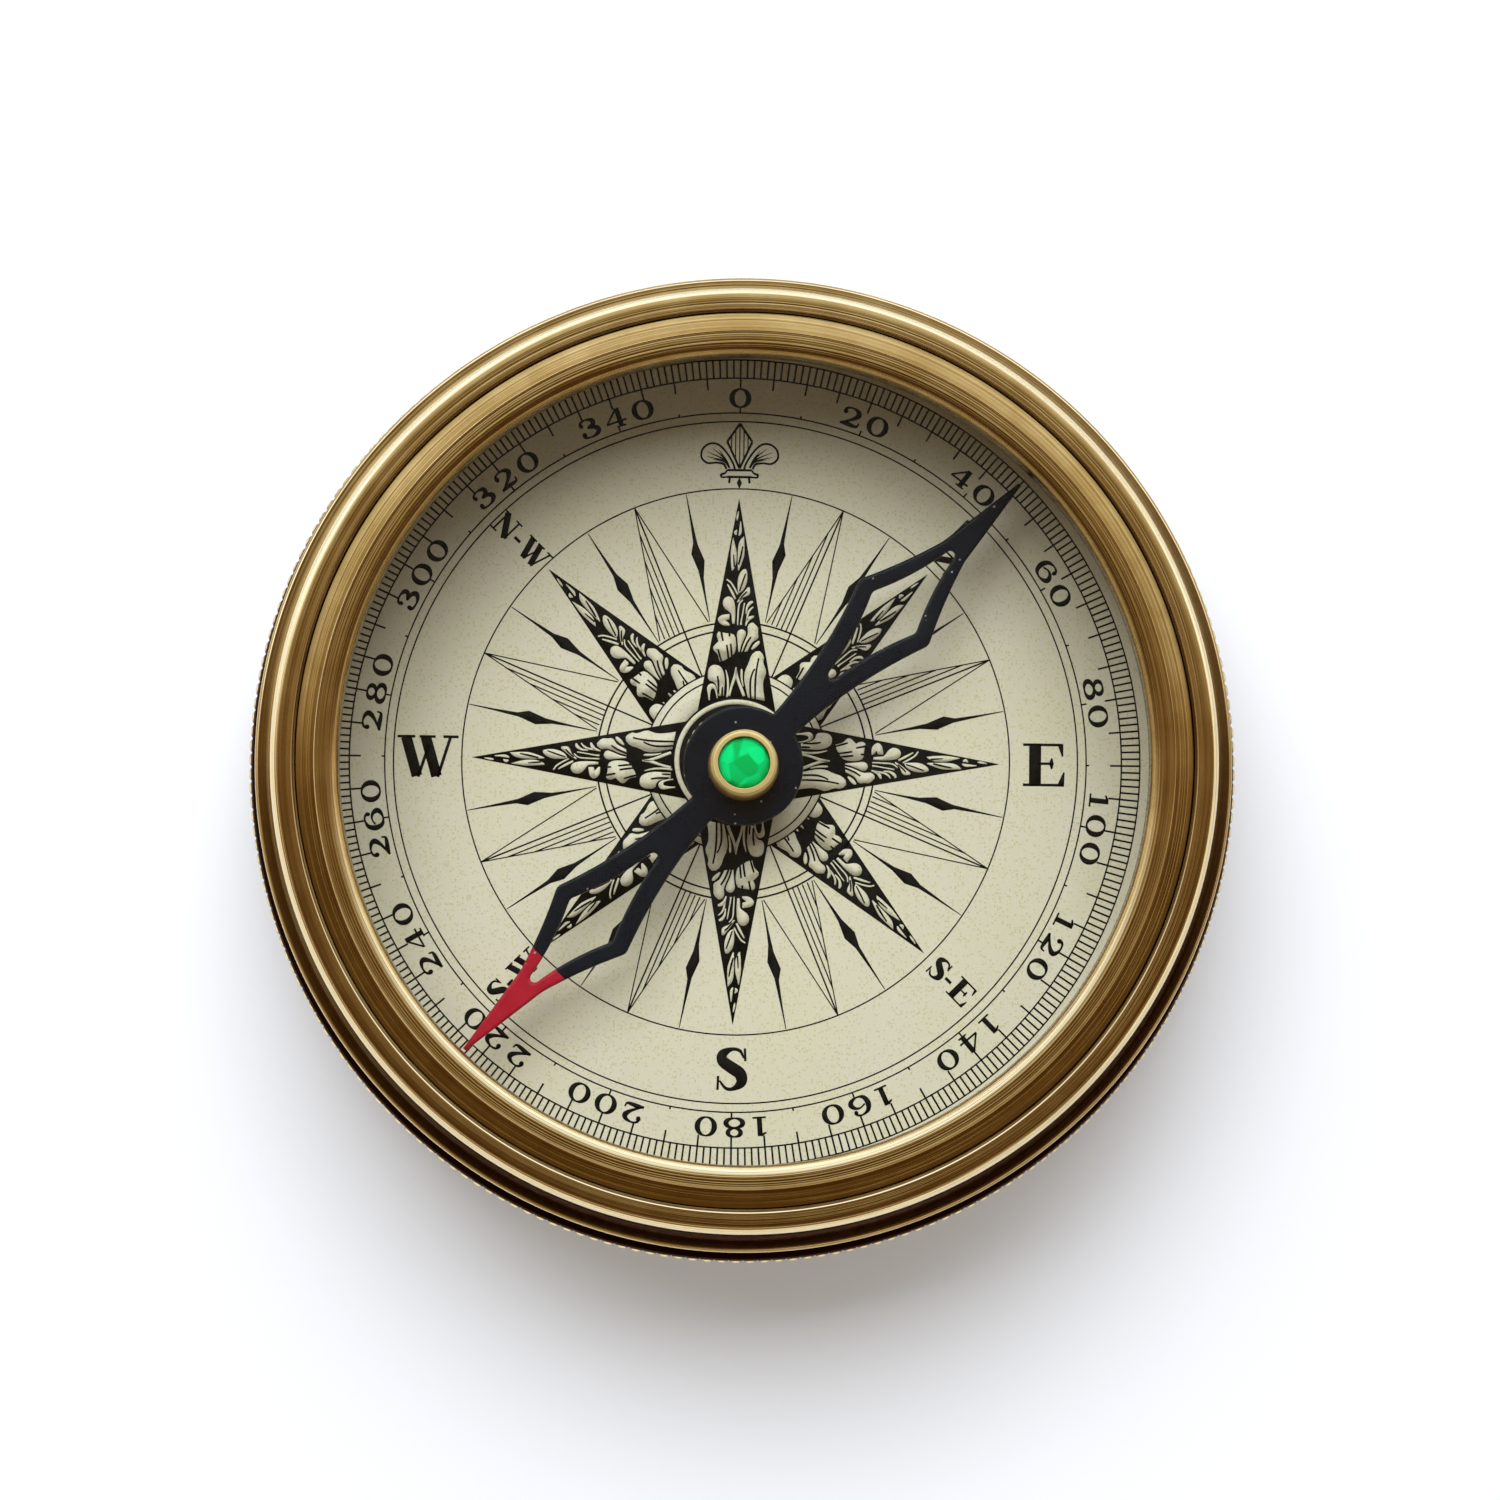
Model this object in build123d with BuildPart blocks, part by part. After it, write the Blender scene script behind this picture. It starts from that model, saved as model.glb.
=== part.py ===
from build123d import *
import math
import os

# Brass pocket compass: a screwed bezel with its glass, a printed dial and a pivoted needle.
# Millimetres, +Z up, origin at the centre of the foot, +Y towards the north mark of the dial.

# Case and bezel, across
overall_diameter = 76.2
knurl_depth = 0.2
knurl_step = 0.7
knurl_count = 216
bezel_wall = 1.75
thread_clearance = 0.05
neck_wall = 2.2
seat_width = 1.2
rim_step = 1.4
rim_width = 1.9
ring_clearance = 0.05
sight_ring_width = 3.3
glass_clearance = 0.3
flange_width = 2.1
gasket_margin = 0.2
dial_ledge_width = 1.7
dial_clearance = 0.1
foot_width = 4.8

# Case and bezel, up and down
base_thickness = 2.0
foot_recess_depth = 0.3
shoulder_height = 6.4
knurl_height = 3.3
neck_gap = 0.2
flange_thickness = 1.0
ledge_rise = 0.2
gasket_thickness = 0.4
glass_thickness = 2.0
ring_height = 2.2
ring_lip_height = 1.4
ring_bevel_width = 1.0
ring_flat_width = 0.8
ring_outer_drop = 0.55
rim_drop = 0.3

# Turned edges
base_chamfer = 0.8
shoulder_chamfer = 0.25
neck_chamfer = 0.3
knurl_chamfer = 0.3
ledge_chamfer = 0.2
cove_radius = 0.8
rim_inner_chamfer = 0.25
rim_flat = 0.75
glass_chamfer = 0.2

# Dial
dial_plate_thickness = 0.8
dial_card_thickness = 0.3
snap_wire_diameter = 0.8
snap_wire_inset = 0.25
snap_clearance = 0.03
snap_gap_angle = 14.0

# Pivot
shank_radius = 1.0
shank_clearance = 0.03
shank_tail = 0.4
nut_floor_gap = 0.9
nut_across_flats = 4.0
nut_sides = 6
nut_height = 1.6
washer_radius = 2.6
washer_thickness = 0.5
post_flange_radius = 2.4
post_flange_thickness = 0.5
post_foot_radius = 1.6
post_top_radius = 1.0
post_height = 2.2
pin_radius = 0.4
pin_clearance = 0.02
pin_grip = 2.4
pin_point_length = 1.6
pin_point_radius = 0.06
bearing_clearance = 0.05

# Needle
needle_bearing = 44.4
needle_tip_gap = 2.7
hub_radius = 4.62
blade_thickness = 0.6
blade_neck_half_width = 1.15
blade_elbow_half_width = 3.72
blade_elbow_share = 0.52
blade_tip_half_width = 0.14
blade_tip_length = 7.3
blade_tip_base_half_width = 1.17
blade_bar_width = 1.4
blade_neck_sag = 0.45
blade_shoulder_sag = 0.15
slot_offset = 4.9
slot_end_half_width = 0.3
slot_edge_sag = 0.27
cap_base_radius = 2.73
cap_top_radius = 2.53
cap_height = 3.2
cap_top_gap = 1.4
cap_rim_round = 0.2
cap_bore_radius = 1.0
cap_mouth_radius = 1.3
spigot_radius = 1.9
spigot_clearance = 0.03
collar_radius = 2.8
collar_thickness = 0.5
rivet_height = 0.3
post_gap = 0.6
jewel_radius = 1.97
jewel_clearance = 0.03
jewel_height = 1.1
jewel_sink = 0.1
jewel_table_radius = 1.1
jewel_bevel_height = 0.3
jewel_facets = 8
jewel_cup_radius = 0.6
jewel_cup_depth = 0.45

# Radii that follow from the outside inwards
knurl_tip_radius = overall_diameter / 2
knurl_root_radius = knurl_tip_radius - knurl_depth
wall_radius = knurl_root_radius - knurl_step
bezel_bore_radius = wall_radius - bezel_wall
neck_radius = bezel_bore_radius - thread_clearance
chamber_radius = neck_radius - neck_wall
case_radius = neck_radius + seat_width
upper_wall_radius = wall_radius - rim_step
rim_bore_radius = upper_wall_radius - rim_width
rim_round = rim_width - rim_inner_chamfer - rim_flat
ring_radius = rim_bore_radius - ring_clearance
sight_radius = rim_bore_radius - sight_ring_width
glass_radius = rim_bore_radius - glass_clearance
flange_radius = rim_bore_radius - flange_width
dial_ledge_radius = chamber_radius - dial_ledge_width
dial_radius = chamber_radius - dial_clearance
foot_recess_radius = case_radius - base_chamfer - foot_width

# Heights that follow from the foot upwards
plate_bottom = base_thickness + nut_floor_gap + shank_tail + nut_height + washer_thickness
card_bottom = plate_bottom + dial_plate_thickness
card_top = card_bottom + dial_card_thickness
post_column_bottom = card_top + post_flange_thickness
post_top = post_column_bottom + post_height
rivet_bottom = post_top + post_gap
collar_bottom = rivet_bottom + rivet_height
blade_bottom = collar_bottom + collar_thickness
blade_top = blade_bottom + blade_thickness
cap_top = blade_top + cap_height
jewel_top = cap_top - jewel_sink
jewel_bottom = jewel_top - jewel_height
pin_tip = jewel_bottom + jewel_cup_depth - bearing_clearance
glass_bottom = cap_top + cap_top_gap
glass_top = glass_bottom + glass_thickness
gasket_bottom = glass_bottom - gasket_thickness
flange_bottom = gasket_bottom - flange_thickness
neck_top = flange_bottom - neck_gap
ledge_height = gasket_bottom + ledge_rise
ring_top = glass_top + ring_height
rim_top = ring_top - rim_drop
knurl_top = shoulder_height + knurl_height
snap_centre_height = card_top + snap_wire_diameter / 2
snap_centre_radius = chamber_radius + snap_wire_inset - snap_wire_diameter / 2

# Needle lengths, from the pivot outwards
blade_half_length = chamber_radius - needle_tip_gap
slot_start = hub_radius + slot_offset
slot_end = blade_half_length - blade_tip_length
elbow_distance = slot_start + blade_elbow_share * (slot_end - slot_start)
slot_elbow_half_width = blade_elbow_half_width - blade_bar_width
needle_turn = math.radians(needle_bearing)
needle_plane = Plane(
    origin=(0, 0, blade_bottom),
    x_dir=(math.sin(needle_turn), math.cos(needle_turn), 0),
    z_dir=(0, 0, 1),
)

# Case body: a turned cup with a ledge for the dial and a neck for the bezel
with BuildPart() as case_body:
    with BuildSketch(Plane.XZ):
        with BuildLine():
            Polyline(
                (0, foot_recess_depth),
                (foot_recess_radius, foot_recess_depth),
                (foot_recess_radius, 0),
                (case_radius - base_chamfer, 0),
                (case_radius, base_chamfer),
                (case_radius, shoulder_height - shoulder_chamfer),
                (case_radius - shoulder_chamfer, shoulder_height),
                (neck_radius, shoulder_height),
                (neck_radius, neck_top - neck_chamfer),
                (neck_radius - neck_chamfer, neck_top),
                (chamber_radius, neck_top),
                (chamber_radius, plate_bottom),
                (dial_ledge_radius, plate_bottom),
                (dial_ledge_radius, base_thickness),
                (0, base_thickness),
                close=True,
            )
        make_face()
    revolve(axis=Axis.Z)
    with BuildSketch(Plane.XZ):
        with Locations((snap_centre_radius, snap_centre_height)):
            Circle(snap_wire_diameter / 2 + snap_clearance)
    revolve(axis=Axis.Z, mode=Mode.SUBTRACT)

# Bezel ring: a knurled skirt, a smooth wall, a coved ledge and a rounded rim
knurl_points = []
for tooth in range(knurl_count):
    for radius, share in ((knurl_tip_radius, 0), (knurl_root_radius, 0.5)):
        turn = 2 * math.pi * (tooth + share) / knurl_count
        knurl_points.append((radius * math.cos(turn), radius * math.sin(turn)))

with BuildPart() as bezel_ring:
    with BuildSketch(Plane.XY.offset(shoulder_height)):
        with BuildLine():
            Polyline(*knurl_points, close=True)
        make_face()
    extrude(amount=knurl_height)
    with BuildSketch(Plane.XZ):
        with BuildLine():
            Polyline(
                (bezel_bore_radius, shoulder_height),
                (knurl_tip_radius - knurl_chamfer, shoulder_height),
                (knurl_tip_radius, shoulder_height + knurl_chamfer),
                (knurl_tip_radius, knurl_top - knurl_chamfer),
                (knurl_tip_radius - knurl_chamfer, knurl_top),
                (bezel_bore_radius, knurl_top),
                close=True,
            )
        make_face()
    revolve(axis=Axis.Z, mode=Mode.INTERSECT)
    with BuildSketch(Plane.XZ):
        with BuildLine():
            Polyline(
                (upper_wall_radius - rim_round, rim_top),
                (rim_bore_radius + rim_inner_chamfer, rim_top),
                (rim_bore_radius, rim_top - rim_inner_chamfer),
                (rim_bore_radius, gasket_bottom),
                (flange_radius, gasket_bottom),
                (flange_radius, flange_bottom),
                (bezel_bore_radius, flange_bottom),
                (bezel_bore_radius, knurl_top),
                (wall_radius, knurl_top),
                (wall_radius, ledge_height - ledge_chamfer),
                (wall_radius - ledge_chamfer, ledge_height),
                (upper_wall_radius + cove_radius, ledge_height),
            )
            RadiusArc(
                (upper_wall_radius + cove_radius, ledge_height),
                (upper_wall_radius, ledge_height + cove_radius),
                cove_radius,
            )
            Line(
                (upper_wall_radius, ledge_height + cove_radius),
                (upper_wall_radius, rim_top - rim_round),
            )
            RadiusArc(
                (upper_wall_radius, rim_top - rim_round),
                (upper_wall_radius - rim_round, rim_top),
                -rim_round,
            )
        make_face()
    revolve(axis=Axis.Z)

# Glass retaining ring: screwed in over the glass, with a rounded inner bevel and a sloping outer face
ring_crest_radius = sight_radius + ring_bevel_width
with BuildPart() as glass_retaining_ring:
    with BuildSketch(Plane.XZ):
        with BuildLine():
            Polyline(
                (ring_radius, ring_top - ring_outer_drop),
                (ring_radius, glass_top),
                (sight_radius, glass_top),
                (sight_radius, glass_top + ring_lip_height),
            )
            EllipticalCenterArc(
                (ring_crest_radius, glass_top + ring_lip_height),
                ring_bevel_width,
                ring_height - ring_lip_height,
                start_angle=90,
                arc_size=90,
            )
            Polyline(
                (ring_crest_radius, ring_top),
                (ring_crest_radius + ring_flat_width, ring_top),
                (ring_radius, ring_top - ring_outer_drop),
            )
        make_face()
    revolve(axis=Axis.Z)

# Flat glass and the packing ring under it
with BuildPart() as crystal_glass:
    with BuildSketch(Plane.XY.offset(glass_bottom)):
        Circle(glass_radius)
    extrude(amount=glass_thickness)
    chamfer(crystal_glass.edges().filter_by(GeomType.CIRCLE), glass_chamfer)

with BuildPart() as glass_gasket:
    with BuildSketch(Plane.XY.offset(gasket_bottom)):
        Circle(glass_radius)
        Circle(flange_radius + gasket_margin, mode=Mode.SUBTRACT)
    extrude(amount=gasket_thickness)

# Dial: a brass plate on the ledge of the case, and the paper card on it
with BuildPart() as dial_plate:
    with BuildSketch(Plane.XY.offset(plate_bottom)):
        Circle(dial_radius)
        Circle(shank_radius + shank_clearance, mode=Mode.SUBTRACT)
    extrude(amount=dial_plate_thickness)

with BuildPart() as dial_card:
    with BuildSketch(Plane.XY.offset(card_bottom)):
        Circle(dial_radius)
        Circle(shank_radius + shank_clearance, mode=Mode.SUBTRACT)
    extrude(amount=dial_card_thickness)

# Split wire ring, sprung into the groove of the case over the edge of the card
with BuildPart() as dial_snap_ring:
    with BuildSketch(Plane.XZ):
        with Locations((snap_centre_radius, snap_centre_height)):
            Circle(snap_wire_diameter / 2)
    revolve(axis=Axis.Z, revolution_arc=360 - snap_gap_angle)

# Pivot: a brass post clamped through the dial by a nut, and the steel point pressed into it
with BuildPart() as pivot_post:
    with BuildSketch(Plane.XZ):
        with BuildLine():
            Polyline(
                (0, plate_bottom - washer_thickness - nut_height - shank_tail),
                (shank_radius, plate_bottom - washer_thickness - nut_height - shank_tail),
                (shank_radius, card_top),
                (post_flange_radius, card_top),
                (post_flange_radius, post_column_bottom),
                (post_foot_radius, post_column_bottom),
                (post_top_radius, post_top),
                (0, post_top),
                close=True,
            )
        make_face()
    revolve(axis=Axis.Z)
    with BuildSketch(Plane.XY.offset(post_top)):
        Circle(pin_radius + pin_clearance)
    extrude(amount=-pin_grip, mode=Mode.SUBTRACT)

with BuildPart() as pivot_pin:
    with BuildSketch(Plane.XZ):
        with BuildLine():
            Polyline(
                (0, post_top - pin_grip),
                (pin_radius, post_top - pin_grip),
                (pin_radius, pin_tip - pin_point_length),
                (pin_point_radius, pin_tip),
                (0, pin_tip),
                close=True,
            )
        make_face()
    revolve(axis=Axis.Z)

with BuildPart() as pivot_washer:
    with BuildSketch(Plane.XY.offset(plate_bottom)):
        Circle(washer_radius)
        Circle(shank_radius + shank_clearance, mode=Mode.SUBTRACT)
    extrude(amount=-washer_thickness)

with BuildPart() as pivot_nut:
    with BuildSketch(Plane.XY.offset(plate_bottom - washer_thickness)):
        RegularPolygon(nut_across_flats / 2, nut_sides, major_radius=False)
        Circle(shank_radius + shank_clearance, mode=Mode.SUBTRACT)
    extrude(amount=-nut_height)

# Needle blade: a round hub with two slotted arms, alike at both ends
with BuildPart() as needle_blade:
    with BuildSketch(needle_plane):
        with BuildLine():
            Line((0, 0), (0, blade_neck_half_width))
            Line((0, blade_neck_half_width), (hub_radius, blade_neck_half_width))
            SagittaArc(
                (hub_radius, blade_neck_half_width),
                (elbow_distance, blade_elbow_half_width),
                -blade_neck_sag,
            )
            SagittaArc(
                (elbow_distance, blade_elbow_half_width),
                (slot_end, blade_tip_base_half_width),
                -blade_shoulder_sag,
            )
            Line((slot_end, blade_tip_base_half_width), (blade_half_length, blade_tip_half_width))
            Line((blade_half_length, blade_tip_half_width), (blade_half_length, 0))
            Line((blade_half_length, 0), (0, 0))
        make_face()
        with BuildLine():
            Line((slot_start, 0), (slot_start, slot_end_half_width))
            SagittaArc(
                (slot_start, slot_end_half_width),
                (elbow_distance, slot_elbow_half_width),
                -slot_edge_sag,
            )
            SagittaArc(
                (elbow_distance, slot_elbow_half_width),
                (slot_end, slot_end_half_width),
                -slot_edge_sag,
            )
            Line((slot_end, slot_end_half_width), (slot_end, 0))
            Line((slot_end, 0), (slot_start, 0))
        make_face(mode=Mode.SUBTRACT)
        mirror(about=Plane.XZ)
        mirror(about=Plane.YZ)
        Circle(hub_radius)
        Circle(spigot_radius + spigot_clearance, mode=Mode.SUBTRACT)
    extrude(amount=blade_thickness)

# Needle cap, the collar under the blade and the jewel that rides on the point
with BuildPart() as needle_cap:
    with BuildSketch(Plane.XZ):
        with BuildLine():
            Polyline(
                (cap_mouth_radius, rivet_bottom),
                (spigot_radius, rivet_bottom),
                (spigot_radius, blade_top),
                (cap_base_radius, blade_top),
                (cap_top_radius, cap_top - cap_rim_round),
                (cap_top_radius - cap_rim_round, cap_top),
                (jewel_radius + jewel_clearance, cap_top),
                (jewel_radius + jewel_clearance, jewel_bottom),
                (cap_bore_radius, jewel_bottom),
                close=True,
            )
        make_face()
    revolve(axis=Axis.Z)

with BuildPart() as needle_collar:
    with BuildSketch(Plane.XY.offset(collar_bottom)):
        Circle(collar_radius)
        Circle(spigot_radius + spigot_clearance, mode=Mode.SUBTRACT)
    extrude(amount=collar_thickness)

with BuildPart() as cap_jewel:
    with BuildSketch(Plane.XY.offset(jewel_bottom)):
        Circle(jewel_radius)
    extrude(amount=jewel_height - jewel_bevel_height)
    with BuildSketch(Plane.XY.offset(jewel_top - jewel_bevel_height)):
        RegularPolygon(jewel_radius, jewel_facets)
    with BuildSketch(Plane.XY.offset(jewel_top)):
        RegularPolygon(jewel_table_radius, jewel_facets)
    loft(ruled=True)
    with BuildSketch(Plane.XZ):
        with BuildLine():
            Polyline(
                (0, jewel_bottom),
                (jewel_cup_radius, jewel_bottom),
                (0, jewel_bottom + jewel_cup_depth),
                close=True,
            )
        make_face()
    revolve(axis=Axis.Z, mode=Mode.SUBTRACT)

os.makedirs("parts", exist_ok=True)
pieces = {
    "case_body": case_body,
    "bezel_ring": bezel_ring,
    "glass_retaining_ring": glass_retaining_ring,
    "crystal_glass": crystal_glass,
    "glass_gasket": glass_gasket,
    "dial_plate": dial_plate,
    "dial_card": dial_card,
    "dial_snap_ring": dial_snap_ring,
    "pivot_post": pivot_post,
    "pivot_pin": pivot_pin,
    "pivot_washer": pivot_washer,
    "pivot_nut": pivot_nut,
    "needle_blade": needle_blade,
    "needle_cap": needle_cap,
    "needle_collar": needle_collar,
    "cap_jewel": cap_jewel,
}
for piece_name, piece in pieces.items():
    piece.part.label = piece_name
    export_step(piece.part, f"parts/{piece_name}.step")
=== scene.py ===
# %% [markdown]
# A brass pocket compass, dressed for its picture.
# The working model comes from CAD: sixteen solids on four bodies that move. This lesson loads it as a
# fixed frame and gives every surface its finish. Some solids keep their own mesh and get a new
# material. Others are replaced by a finer surface worked out with numpy: turned brass with soft edges,
# a printed card, a painted needle.

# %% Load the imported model
import math

import bmesh
import bpy
import numpy as np
from mathutils import Matrix, Vector


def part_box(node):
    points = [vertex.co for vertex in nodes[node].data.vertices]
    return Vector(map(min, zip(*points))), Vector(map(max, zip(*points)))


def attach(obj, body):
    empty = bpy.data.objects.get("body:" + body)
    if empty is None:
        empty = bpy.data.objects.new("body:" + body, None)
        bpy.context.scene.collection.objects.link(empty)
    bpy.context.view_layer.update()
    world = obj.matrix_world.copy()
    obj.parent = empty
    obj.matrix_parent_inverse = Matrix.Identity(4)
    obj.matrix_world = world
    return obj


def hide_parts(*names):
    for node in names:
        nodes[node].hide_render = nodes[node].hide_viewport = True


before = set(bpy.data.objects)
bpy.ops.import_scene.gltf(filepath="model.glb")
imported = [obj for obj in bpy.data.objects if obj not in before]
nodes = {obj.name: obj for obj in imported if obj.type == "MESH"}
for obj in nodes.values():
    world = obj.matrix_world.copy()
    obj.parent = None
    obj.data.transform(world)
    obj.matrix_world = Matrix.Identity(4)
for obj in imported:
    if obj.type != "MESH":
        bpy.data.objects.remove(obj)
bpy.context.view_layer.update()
mm = 0.001


def height_of(node):
    """Lowest and highest level of a CAD node, in millimetres."""
    low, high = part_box(node)
    return round(low.z / mm, 4), round(high.z / mm, 4)


def radius_of(node):
    """Half the width of a round CAD node, in millimetres."""
    low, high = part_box(node)
    return round((high.x - low.x) / 2 / mm, 4)


case_top = height_of("case_body")[1]
card_top = height_of("dial_card")[1]
blade_bottom, blade_top = height_of("needle_blade")
glass_top = height_of("crystal_glass")[1]
ring_top = height_of("glass_retaining_ring")[1]
knurl_tip = radius_of("bezel_ring")
print("frame:", len(nodes), "solids,", knurl_tip * 2, "mm across,", ring_top, "mm high")

# %% [markdown]
# The camera stands almost straight above the dial, leaning five degrees towards the south of the case,
# so that the near wall shows as a dark band and the far one hides. A camera looks along its own -Z.
# Its turning is built from two directions, forward and up, because the usual tracking helper would
# roll the picture when the view is this steep.

# %% Camera
lens_length = 120.0
eye_distance = 386.0
eye_lean_east = -1.09
eye_lean_north = -4.54
aim_point = Vector((0.535, 1.32, 10.0))

to_eye = Vector((math.tan(math.radians(eye_lean_east)), math.tan(math.radians(eye_lean_north)), 1.0))
to_eye.normalize()
side = Vector((0, 1, 0)).cross(to_eye).normalized()
upward = to_eye.cross(side)
eye = (aim_point + to_eye * eye_distance) * mm
turning = Matrix((side, upward, to_eye)).transposed().to_4x4()

camera_data = bpy.data.cameras.new("camera")
camera_data.lens = lens_length
camera_data.sensor_width = 36.0
camera_data.clip_start = 0.01
camera_data.clip_end = 20.0
camera = bpy.data.objects.new("camera", camera_data)
bpy.context.scene.collection.objects.link(camera)
camera.matrix_world = Matrix.Translation(eye) @ turning
bpy.context.scene.camera = camera
bpy.context.scene.view_settings.view_transform = "Standard"
print("camera at", [round(c, 4) for c in eye])

# %% [markdown]
# Every material, and the sky too, is a small tree of nodes. One helper adds a node, sets its options and
# plugs its inputs, each with a plain value or with the output of an earlier node. The others are short
# names for the nodes used most. That keeps the cells below short enough to read.

# %% Node helpers
def place(tree, kind, options=None, inputs=None):
    """Adds a node to a tree; inputs are keyed by name or number, and hold values or output sockets."""
    made = tree.nodes.new(kind)
    for key, value in (options or {}).items():
        setattr(made, key, value)
    for key, value in (inputs or {}).items():
        if isinstance(value, bpy.types.NodeSocket):
            tree.links.new(value, made.inputs[key])
        else:
            made.inputs[key].default_value = value
    return made


def math_of(tree, operation, first, second=0.0, third=0.0):
    """The output of a Math node on up to three values or sockets."""
    inputs = {0: first, 1: second, 2: third}
    return place(tree, "ShaderNodeMath", {"operation": operation}, inputs).outputs[0]


def vector_of(tree, operation, *vectors):
    """The outputs of a Vector Math node on one or two vectors or sockets."""
    return place(tree, "ShaderNodeVectorMath", {"operation": operation}, dict(enumerate(vectors))).outputs


def mix_of(tree, share, first, second, blend="MIX"):
    """A colour mixed from two, each a plain colour or a socket, by a share from 0 to 1."""
    pair = [c if isinstance(c, bpy.types.NodeSocket) else (*c, 1.0) for c in (first, second)]
    options = {"data_type": "RGBA", "blend_type": blend}
    return place(tree, "ShaderNodeMix", options, {0: share, 6: pair[0], 7: pair[1]}).outputs[2]


def ramp_of(tree, value, stops):
    """The colour that a ramp gives for a value; stops are (position, colour) pairs."""
    made = place(tree, "ShaderNodeValToRGB", None, {"Fac": value})
    band = made.color_ramp.elements
    while len(band) < len(stops):
        band.new(0.5)
    for element, (position, colour) in zip(band, stops):
        element.position = position
        element.color = (*colour, 1.0)
    return made.outputs["Color"]


def new_finish(name, constants=None):
    """A material, its tree and the inputs of its Principled shader, some of them set to constants."""
    finish = bpy.data.materials.new(name)
    finish.use_nodes = True
    shader = finish.node_tree.nodes["Principled BSDF"].inputs
    for key, value in (constants or {}).items():
        shader[key].default_value = value
    return finish, finish.node_tree, shader


def wire(tree, shader, colour, roughness, normal=None):
    """Plugs what varies over a surface into its shader: colour, roughness and, if given, the normal."""
    for key, source in (("Base Color", colour), ("Roughness", roughness), ("Normal", normal)):
        if source is not None:
            tree.links.new(source, shader[key])


print("node helpers ready")

# %% [markdown]
# Polished metal shows its surroundings, so the surroundings are half of its finish. Here they are a dim
# warm room with a pale line all round the horizon and a soft glow that grows towards the north. Mirror
# rays see that glow reach higher than the light on the paper does, as if a pale card stood there. Flat
# brass then turns from deep brown in the south to gold in the north, and every sloping edge catches a
# pale line. The horizon is bright enough to be white behind the floor in a low view.

# %% Sky
world = bpy.data.worlds.new("studio")
bpy.context.scene.world = world
world.use_nodes = True
sky = world.node_tree
sky.nodes.clear()
direction = place(sky, "ShaderNodeTexCoord").outputs["Generated"]
towards = place(sky, "ShaderNodeSeparateXYZ", None, {0: direction}).outputs
rising = math_of(sky, "MULTIPLY_ADD", towards["Z"], 0.5, 0.5)
northward = math_of(sky, "MULTIPLY_ADD", towards["Y"], 0.5, 0.5)
room_level = 1.5
room_bands = (
    (0.0, (0.60, 0.59, 0.57)),
    (0.42, (0.95, 0.94, 0.92)),
    (0.60, (0.95, 0.94, 0.92)),
    (0.68, (0.40, 0.32, 0.22)),
    (0.77, (0.078, 0.049, 0.021)),
    (1.0, (0.074, 0.046, 0.020)),
)
glow_bands = (
    (0.50, (0.0, 0.0, 0.0)),
    (0.58, (0.02, 0.02, 0.02)),
    (0.65, (0.19, 0.21, 0.25)),
    (0.75, (0.62, 0.69, 0.81)),
    (0.90, (0.85, 0.95, 1.12)),
)
mirror_bands = (
    (0.45, (0.040, 0.020, 0.003)),
    (0.50, (0.045, 0.022, 0.004)),
    (0.54, (0.18, 0.105, 0.044)),
    (0.58, (0.34, 0.31, 0.27)),
    (0.65, (0.55, 0.60, 0.66)),
    (0.75, (0.85, 0.98, 1.20)),
    (0.90, (0.94, 1.10, 1.48)),
)
ray = place(sky, "ShaderNodeLightPath").outputs
mirrored_ray = math_of(sky, "GREATER_THAN", ray["Is Glossy Ray"], ray["Is Transmission Ray"])
glow = mix_of(sky, mirrored_ray, ramp_of(sky, northward, glow_bands), ramp_of(sky, northward, mirror_bands))
room = mix_of(sky, 1.0, ramp_of(sky, rising, room_bands), glow, "ADD")
around = place(sky, "ShaderNodeBackground", None, {"Color": room, "Strength": room_level})
place(sky, "ShaderNodeOutputWorld", None, {"Surface": around.outputs[0]})
print("sky:", len(room_bands), "room bands and", len(glow_bands), "glow bands")

# %% [markdown]
# One large soft lamp hangs high in the north, as a window would, and puts the bezel's soft shadow on the
# top of the dial. A weak one from the south east keeps the shadow side readable. Power grows with the
# square of the distance, so it is worked out from the level wanted on white paper. Brass mirrors the sky
# alone: the lamps themselves don't show in it. They are hidden from rays through the glass too, because
# their light would otherwise reach the card a second time.

# %% Lamps
daylight = (0.95, 1.0, 1.07)


def soft_lamp(name, bearing, elevation, distance, width, depth, level):
    """An area lamp aimed at the dial; level 1 would light white paper to full white by itself."""
    data = bpy.data.lights.new(name, "AREA")
    data.shape = "RECTANGLE"
    data.size = width
    data.size_y = depth
    data.energy = level * math.pi ** 2 * distance ** 2
    data.color = daylight
    lamp = bpy.data.objects.new(name, data)
    bpy.context.scene.collection.objects.link(lamp)
    b, e = math.radians(bearing), math.radians(elevation)
    back = Vector((math.sin(b) * math.cos(e), math.cos(b) * math.cos(e), math.sin(e)))
    lamp.location = back * distance + Vector((0, 0, card_top * mm))
    lamp.visible_glossy = False
    lamp.visible_transmission = False
    lamp.rotation_mode = "QUATERNION"
    lamp.rotation_quaternion = back.to_track_quat("Z", "Y")
    print("lamp", name, "at", [round(c, 2) for c in lamp.location])


soft_lamp("window", bearing=-12.0, elevation=55.0, distance=1.0, width=1.0, depth=0.70, level=1.27)
soft_lamp("fill", bearing=140.0, elevation=35.0, distance=1.2, width=0.8, depth=0.5, level=0.03)

# %% [markdown]
# New surfaces all reach Blender the same way: an array of points, an array of faces, and one call that
# copies them into a mesh. Extra numbers per point, such as how rubbed an edge is, travel along as
# attributes that a material can read. A merge at the end closes poles and seams.

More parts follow.
